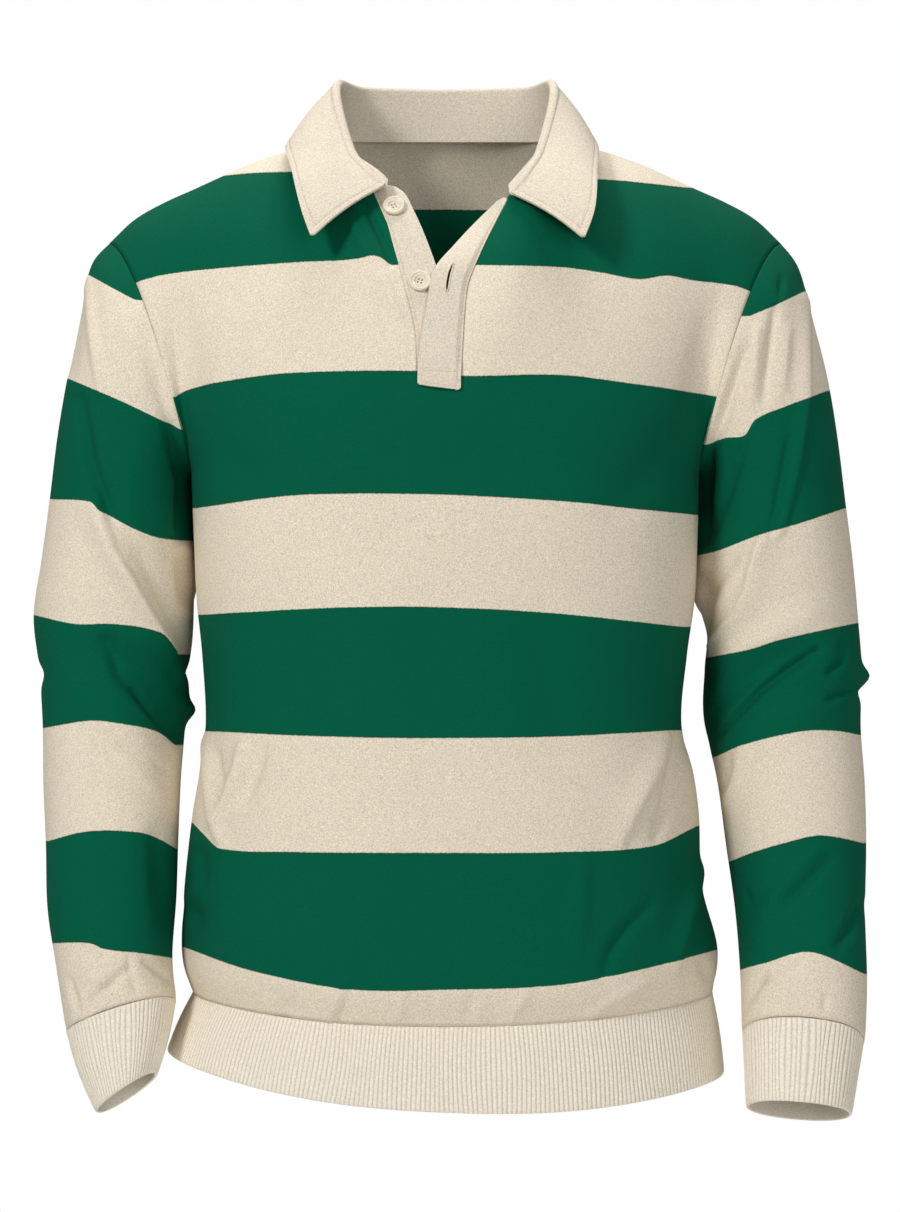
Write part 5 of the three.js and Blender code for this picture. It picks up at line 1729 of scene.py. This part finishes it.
@dataclass
class Collar:
    """The folded collar: a stand on the neckline, a roll and a leaf with pointed fronts."""

    form: TorsoForm
    cloth: float = 2.2
    end_turn: float = 146
    roll_radius: float = 3.4
    leaf_swell: float = 2.4
    foot_inset: float = 0.8
    foot_lift: float = 0.8
    front_lift: float = 2.2
    allowance: float = 3.6
    half_length: float = 225
    leaf_width: float = 58
    tip_radius: float = 4.5
    stitch_in: float = 5.6
    groove: float = 0.4
    groove_wide: float = 0.8
    welt_high: float = 0.25
    welt_in: float = 2.6
    columns: int = 150
    leaf_rows: int = 20
    roll_rows: int = 10
    stand_rows: int = 14
    near_edge: tuple[float, ...] = (0, 0.35, 0.8, 1.4, 2.2, 3.2, 4.2, 4.9, 5.4, 5.8, 6.3, 7, 8.2)
    over_right: Vector = field(default_factory=lambda: Vector((4.7, -1.5, 6.6)))
    over_left: Vector = field(default_factory=lambda: Vector((0, -1, 3)))

    def toward_end(self, place: float, start: float) -> float:
        """A share that rises gently from a place on the collar to the full over the next fifth."""
        return ease(clamp((abs(place) - start) / 0.2))

    def foot(self, place: float) -> Vector:
        """Where the stand is sewn: on the neckline, and over the placket's strips at its ends."""
        beyond = max(abs(place) - 0.5, 0) * 2
        turn = min(abs(place), 0.5) * 180 + beyond * (self.end_turn - 90)
        foot = self.form.neckline(math.copysign(turn, place))
        inward = Vector((foot.x, foot.y - self.form.ridge_y, 0)).normalized()
        end = self.toward_end(place, 0.8)
        foot -= inward * self.foot_inset
        foot.z += self.foot_lift + self.front_lift * ease(clamp((abs(place) - 0.55) / 0.25))
        return foot + (self.over_right if place < 0 else self.over_left) * end

    def point(self, place: float, run: float) -> Vector:
        """A point of the collar's outer face.

        Args:
            place: Along the collar, from -1 at the wearer's right front end to 1 at the left.
            run: -1 to 0 up the allowance inside the neck, 0 to 1 up the stand, 1 to 2 over the roll
                and 2 to 3 down the leaf.

        Returns:
            The point in millimetres.
        """
        row = COLLAR.at(place)
        roll = Vector((row.roll_x, row.roll_y, row.roll_z))
        edge = Vector((row.edge_x, row.edge_y, row.edge_z))
        outward = edge - roll
        outward.z = 0
        outward.normalize()
        radius = self.roll_radius * (1 - 0.6 * ease(clamp((abs(place) - 0.88) / 0.12)))
        middle = roll - Vector((0, 0, radius))
        angle = math.pi * clamp(run - 1)
        over = middle - outward * (radius * math.cos(angle))
        over.z += radius * math.sin(angle)
        if run < 0:
            drop = self.allowance * (1 - self.toward_end(place, 0.6))
            return self.foot(place) + Vector((0, 0, run * drop))
        if run < 1:
            return self.foot(place).lerp(over, run)
        if run <= 2:
            return over
        share = run - 2
        swell = self.leaf_swell * math.sin(math.pi * share)
        return over.lerp(edge, share) + outward * (swell * 0.6) + Vector((0, 0, swell * 0.8))

    def rounded(self, to_end: float, to_edge: float) -> tuple[float, float]:
        """Distances from a leaf's end and edge, drawn in so that its tip is rounded."""
        radius = self.tip_radius
        if to_end >= radius or to_edge >= radius:
            return to_end, to_edge
        p = 1 - to_end / radius
        q = 1 - to_edge / radius
        return (
            radius * (1 - p * math.sqrt(1 - q * q / 2)),
            radius * (1 - q * math.sqrt(1 - p * p / 2)),
        )

    def columns_in(self) -> list[float]:
        """Distances along the collar from its middle, closer together at its ends."""
        inner = self.half_length - self.near_edge[-1] - 1.5
        half = self.columns // 2
        out = [inner * k / half for k in range(half + 1)]
        out += [self.half_length - near for near in self.near_edge[::-1]]
        return [-value for value in out[:0:-1]] + out

    def rows_in(self) -> list[tuple[float, float]]:
        """Rows from the leaf's edge to the stand's foot: run, and distance from the leaf's edge."""
        rows = [(3 - near / self.leaf_width, near) for near in self.near_edge]
        first = self.near_edge[-1] / self.leaf_width
        runs = [3 - mix(first, 1, k / self.leaf_rows) for k in range(1, self.leaf_rows)]
        runs += [2 - k / self.roll_rows for k in range(self.roll_rows)]
        runs += [1 - k / self.stand_rows for k in range(self.stand_rows + 1)]
        return rows + [(run, self.leaf_width) for run in (*runs, -0.4, -1)]

    def at(self, along: float, run: float, to_edge: float) -> Vector:
        """A point by its distance along the collar, with the leaf's tips rounded."""
        to_end = self.half_length - abs(along)
        if run > 2:
            to_end, near = self.rounded(to_end, to_edge)
            if near != to_edge:
                run = 3 - near / self.leaf_width
        place = math.copysign(1 - to_end / self.half_length, along)
        return self.point(place, run)

    def build(self) -> bpy.types.Object:
        """Makes the collar's mesh."""
        columns = self.columns_in()[::-1]
        rows = self.rows_in()
        grid = ClothGrid(
            len(columns), len(rows), lambda i, j: self.at(columns[i], rows[j][0], rows[j][1])
        )
        to_end = self.half_length - np.abs(np.array(columns))[None, :]
        run = np.array([row[0] for row in rows])[:, None]
        to_edge = (3 - run) * self.leaf_width
        is_leaf = np.clip((run - 1.6) * 4, 0, 1)
        nearest = np.minimum(to_end, to_edge)
        groove = self.groove * np.exp(-(((nearest - self.stitch_in) / self.groove_wide) ** 2))
        welt = self.welt_high * np.exp(-(((nearest - self.welt_in) / 2) ** 2))
        grid.raise_by((welt - groove) * is_leaf)
        piece = grid.make("collar_cloth")
        thicken(piece, self.cloth, round_edges=True)
        return piece

    def stitch_line(self) -> list[tuple[Vector, Vector]]:
        """The line of sewing down one front end, along the leaf's edge and up the other end."""
        inset = self.stitch_in
        long = self.half_length - inset
        path = [(-long, 2 + k / 30) for k in range(2, 28)]
        path += [(mix(-long, long, k / 260), 3 - inset / self.leaf_width) for k in range(261)]
        path += [(long, 2 + k / 30) for k in range(27, 1, -1)]
        line = []
        for along, run in path:
            place = along / self.half_length
            here = self.point(place, run)
            across = self.point(place, run - 0.02) - self.point(place, run)
            step = self.point(place + 0.004, run) - self.point(place - 0.004, run)
            line.append((here, across.cross(step).normalized()))
        return line

    def dress(self, finish: bpy.types.Material, thread: bpy.types.Material) -> bpy.types.Object:
        """Builds the collar, dresses it and hides the solid that it stands for."""
        sewing = attach(Topstitch("collar_topstitch").sew([self.stitch_line()]), thread)
        piece = attach(self.build(), finish, "collar")
        return piece


@dataclass
class Button:
    """A sewn-on button: a rounded rim round a dished middle with four holes and its thread."""

    name: str
    up: float
    across: float
    turn: float
    strip: PlacketStrip
    size: float = 1.08
    disc_top: float = 1.15
    disc_foot: float = 0.25
    dish_radius: float = 3.3
    hole_radius: float = 0.72
    hole_out: float = 1.45
    seat: float = 0.6
    sides: int = 64
    rim: ClassVar[tuple[tuple[float, float], ...]] = (
        (3.2, 0.2), (6, 0), (6.9, 0.35), (7.2, 1), (7.1, 1.8), (6.7, 2.5), (6.2, 2.7), (5.7, 2.5),
        (5.2, 1.75), (4.8, 1.65), (4.4, 1.9), (3.9, 2.15), (3.5, 1.8), (3.3, 1.2), (3.1, 0.9),
    )

    def place(self) -> Matrix:
        """Where the button sits: its own Z points out of the strip."""
        at = self.strip.point(self.up, self.across)
        out = self.strip.normal(self.up, self.across)
        turn = out.to_track_quat("Z", "Y").to_matrix().to_4x4()
        spin = Matrix.Rotation(self.turn, 4, "Z")
        size = Matrix.Scale(MM * self.size, 4)
        return Matrix.Translation((at + out * self.seat) * MM) @ turn @ spin @ size

    def build(self) -> bpy.types.Object:
        """Makes the button's mesh: a turned rim and a drilled disc in its middle."""
        bm = bmesh.new()
        ring = [bm.verts.new((radius, 0, height)) for radius, height in self.rim]
        loop = [bm.edges.new((a, b)) for a, b in zip(ring, ring[1:] + ring[:1])]
        bmesh.ops.spin(
            bm, geom=ring + loop, cent=(0, 0, 0), axis=(0, 0, 1), angle=math.tau,
            steps=self.sides, use_merge=True,
        )
        circle = bmesh.ops.create_circle(bm, radius=self.dish_radius, segments=self.sides)["verts"]
        outline = {edge for vert in circle for edge in vert.link_edges}
        for k in range(4):
            angle = math.pi / 4 + k * math.pi / 2
            centre = Vector((math.cos(angle), math.sin(angle), 0)) * self.hole_out
            hole = bmesh.ops.create_circle(
                bm, radius=self.hole_radius, segments=14, matrix=Matrix.Translation(centre)
            )["verts"]
            outline |= {edge for vert in hole for edge in vert.link_edges}
        made = bmesh.ops.triangle_fill(bm, edges=list(outline), use_beauty=True)
        disc = [item for item in made["geom"] if isinstance(item, bmesh.types.BMFace)]
        lifted = bmesh.ops.extrude_face_region(bm, geom=disc, use_keep_orig=True)["geom"]
        top = [item for item in lifted if isinstance(item, bmesh.types.BMVert)]
        bottom = {vert for face in disc for vert in face.verts}
        bmesh.ops.translate(bm, verts=top, vec=(0, 0, self.disc_top))
        bmesh.ops.translate(bm, verts=list(bottom), vec=(0, 0, self.disc_foot))
        bmesh.ops.recalc_face_normals(bm, faces=bm.faces[:])
        bmesh.ops.transform(bm, matrix=self.place(), verts=bm.verts[:])
        piece = finish_mesh(bm, f"{self.name}_resin")
        piece.data.set_sharp_from_angle(angle=math.radians(50))
        return piece

    def thread(self) -> bpy.types.Object:
        """Makes the thread that crosses between the holes, and the shank under the button."""
        bm = bmesh.new()
        for side in (-1, 1):
            for ply in (-0.28, 0, 0.28):
                y = side * self.hole_out * math.sin(math.pi / 4) + ply * 0.6
                size = Matrix.Diagonal((1.15, 0.16, 0.26, 1))
                at = Matrix.Translation((0, y, 1.16 - abs(ply) * 0.4))
                bmesh.ops.create_uvsphere(
                    bm, u_segments=10, v_segments=8, radius=1, matrix=at @ size @ LIE_DOWN
                )
        bmesh.ops.create_cone(
            bm, cap_ends=True, segments=16, radius1=0.7, radius2=0.6, depth=1.4,
            matrix=Matrix.Translation((0, 0, -0.1)),
        )
        bmesh.ops.transform(bm, matrix=self.place(), verts=bm.verts[:])
        return finish_mesh(bm, f"{self.name}_thread")

    def dress(self, resin: bpy.types.Material, thread: bpy.types.Material) -> None:
        """Builds the button and its thread, and dresses them."""
        attach(self.build(), resin, self.name)
        attach(self.thread(), thread)


@dataclass
class Studio:
    """A pale floor, soft light and the camera at the photograph's viewing angle."""

    distance: float = 1.9
    centre: tuple[float, float] = (0.0036, -0.3955)
    lens: float = 78.38
    shift: float = 0.0693
    floor_z: float = -1.45
    floor_radius: float = 2.9
    surroundings: float = 0.15
    aim: tuple[float, float, float] = (0, 0, -0.35)
    lamps: ClassVar[tuple[tuple[str, tuple[float, float, float], float, float], ...]] = (
        ("key", (-1.8, -2.1, 1.3), 0.7, 55),
        ("front", (1.3, -3.0, 0.3), 1.8, 33),
        ("top", (0.1, 0.5, 2.4), 1.4, 52),
    )

    def camera(self) -> None:
        """Makes the camera."""
        seen = bpy.data.cameras.new("camera")
        seen.lens = self.lens
        seen.sensor_width = 36
        seen.shift_y = self.shift
        stand = bpy.data.objects.new("camera", seen)
        stand.location = (self.centre[0], -self.distance, self.centre[1])
        stand.rotation_euler = (math.pi / 2, 0, 0)
        bpy.context.scene.collection.objects.link(stand)
        bpy.context.scene.camera = stand

    def floor(self) -> None:
        """Makes the floor, a wide pale disc."""
        bm = bmesh.new()
        bmesh.ops.create_circle(
            bm, cap_ends=True, radius=self.floor_radius, segments=96,
            matrix=Matrix.Translation((0, 0, self.floor_z)),
        )
        disc = finish_mesh(bm, "floor", smooth=False)
        paint = bpy.data.materials.new("pale_floor")
        paint.use_nodes = True
        shader = paint.node_tree.nodes["Principled BSDF"]
        shader.inputs["Base Color"].default_value = (0.9, 0.9, 0.89, 1)
        shader.inputs["Roughness"].default_value = 0.8
        disc.data.materials.append(paint)

    def lamp(self, name: str, place: Vector, size: float, watts: float) -> None:
        """Adds a soft square lamp, its size in metres, that points at the shirt."""
        light = bpy.data.lights.new(name, "AREA")
        light.size = size
        light.energy = watts
        holder = bpy.data.objects.new(name, light)
        holder.location = place
        holder.rotation_euler = (Vector(self.aim) - place).to_track_quat("-Z", "Y").to_euler()
        bpy.context.scene.collection.objects.link(holder)

    def light(self) -> None:
        """Adds the lamps and the pale surroundings."""
        for name, place, size, watts in self.lamps:
            self.lamp(name, Vector(place), size, watts)
        world = bpy.data.worlds.new("studio")
        world.use_nodes = True
        tree = world.node_tree
        tree.nodes.clear()
        wires = Wiring(tree)
        white = (1, 1, 1, 1)
        soft = wires.add("ShaderNodeBackground", {"Color": white, "Strength": self.surroundings})
        pale = wires.add("ShaderNodeBackground", {"Color": white, "Strength": 1.0})
        seen = wires.add("ShaderNodeLightPath").outputs["Is Camera Ray"]
        both = wires.add("ShaderNodeMixShader", {0: seen, 1: soft.outputs[0], 2: pale.outputs[0]})
        wires.add("ShaderNodeOutputWorld", {"Surface": both.outputs[0]})
        bpy.context.scene.world = world
        bpy.context.scene.view_settings.view_transform = "Standard"

    def build(self) -> None:
        """Makes the whole studio."""
        self.camera()
        self.floor()
        self.light()


def main() -> None:
    """Builds the studio, then the shirt's pieces in order."""
    logging.basicConfig(level=logging.INFO, format="%(message)s")
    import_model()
    Studio().build()
    jersey, rib, trim, thread = (finish.material() for finish in (JERSEY, RIB, TRIM, THREAD))
    form = TorsoForm()
    BodyPanel(form, True, FRONT_CREASES).dress(jersey)
    BodyPanel(form, False, BACK_CREASES).dress(jersey)
    Sleeve(
        form, Side.RIGHT, SLEEVE_RIGHT, FOLDS_RIGHT, RIGHT_CREASES, SLEEVE_RIGHT_STRIPES, 0.165
    ).dress(jersey)
    Sleeve(
        form, Side.LEFT, SLEEVE_LEFT, FOLDS_LEFT, LEFT_CREASES, SLEEVE_LEFT_STRIPES, 0.174
    ).dress(jersey)
    waistband(form).dress(rib)
    cuff(Side.RIGHT, CUFF_RIGHT, 0.0125).dress(rib)
    cuff(Side.LEFT, CUFF_LEFT, 0.0125).dress(rib)
    under = Placket(form).dress(trim, thread)
    Collar(form).dress(trim, thread)
    resin = ResinFinish().material()
    Button("button_upper", 0.852, 0.42, 0.5, under).dress(resin, thread)
    Button("button_lower", 0.488, 0.42, -0.3, under).dress(resin, thread)


if __name__ == "__main__":
    main()
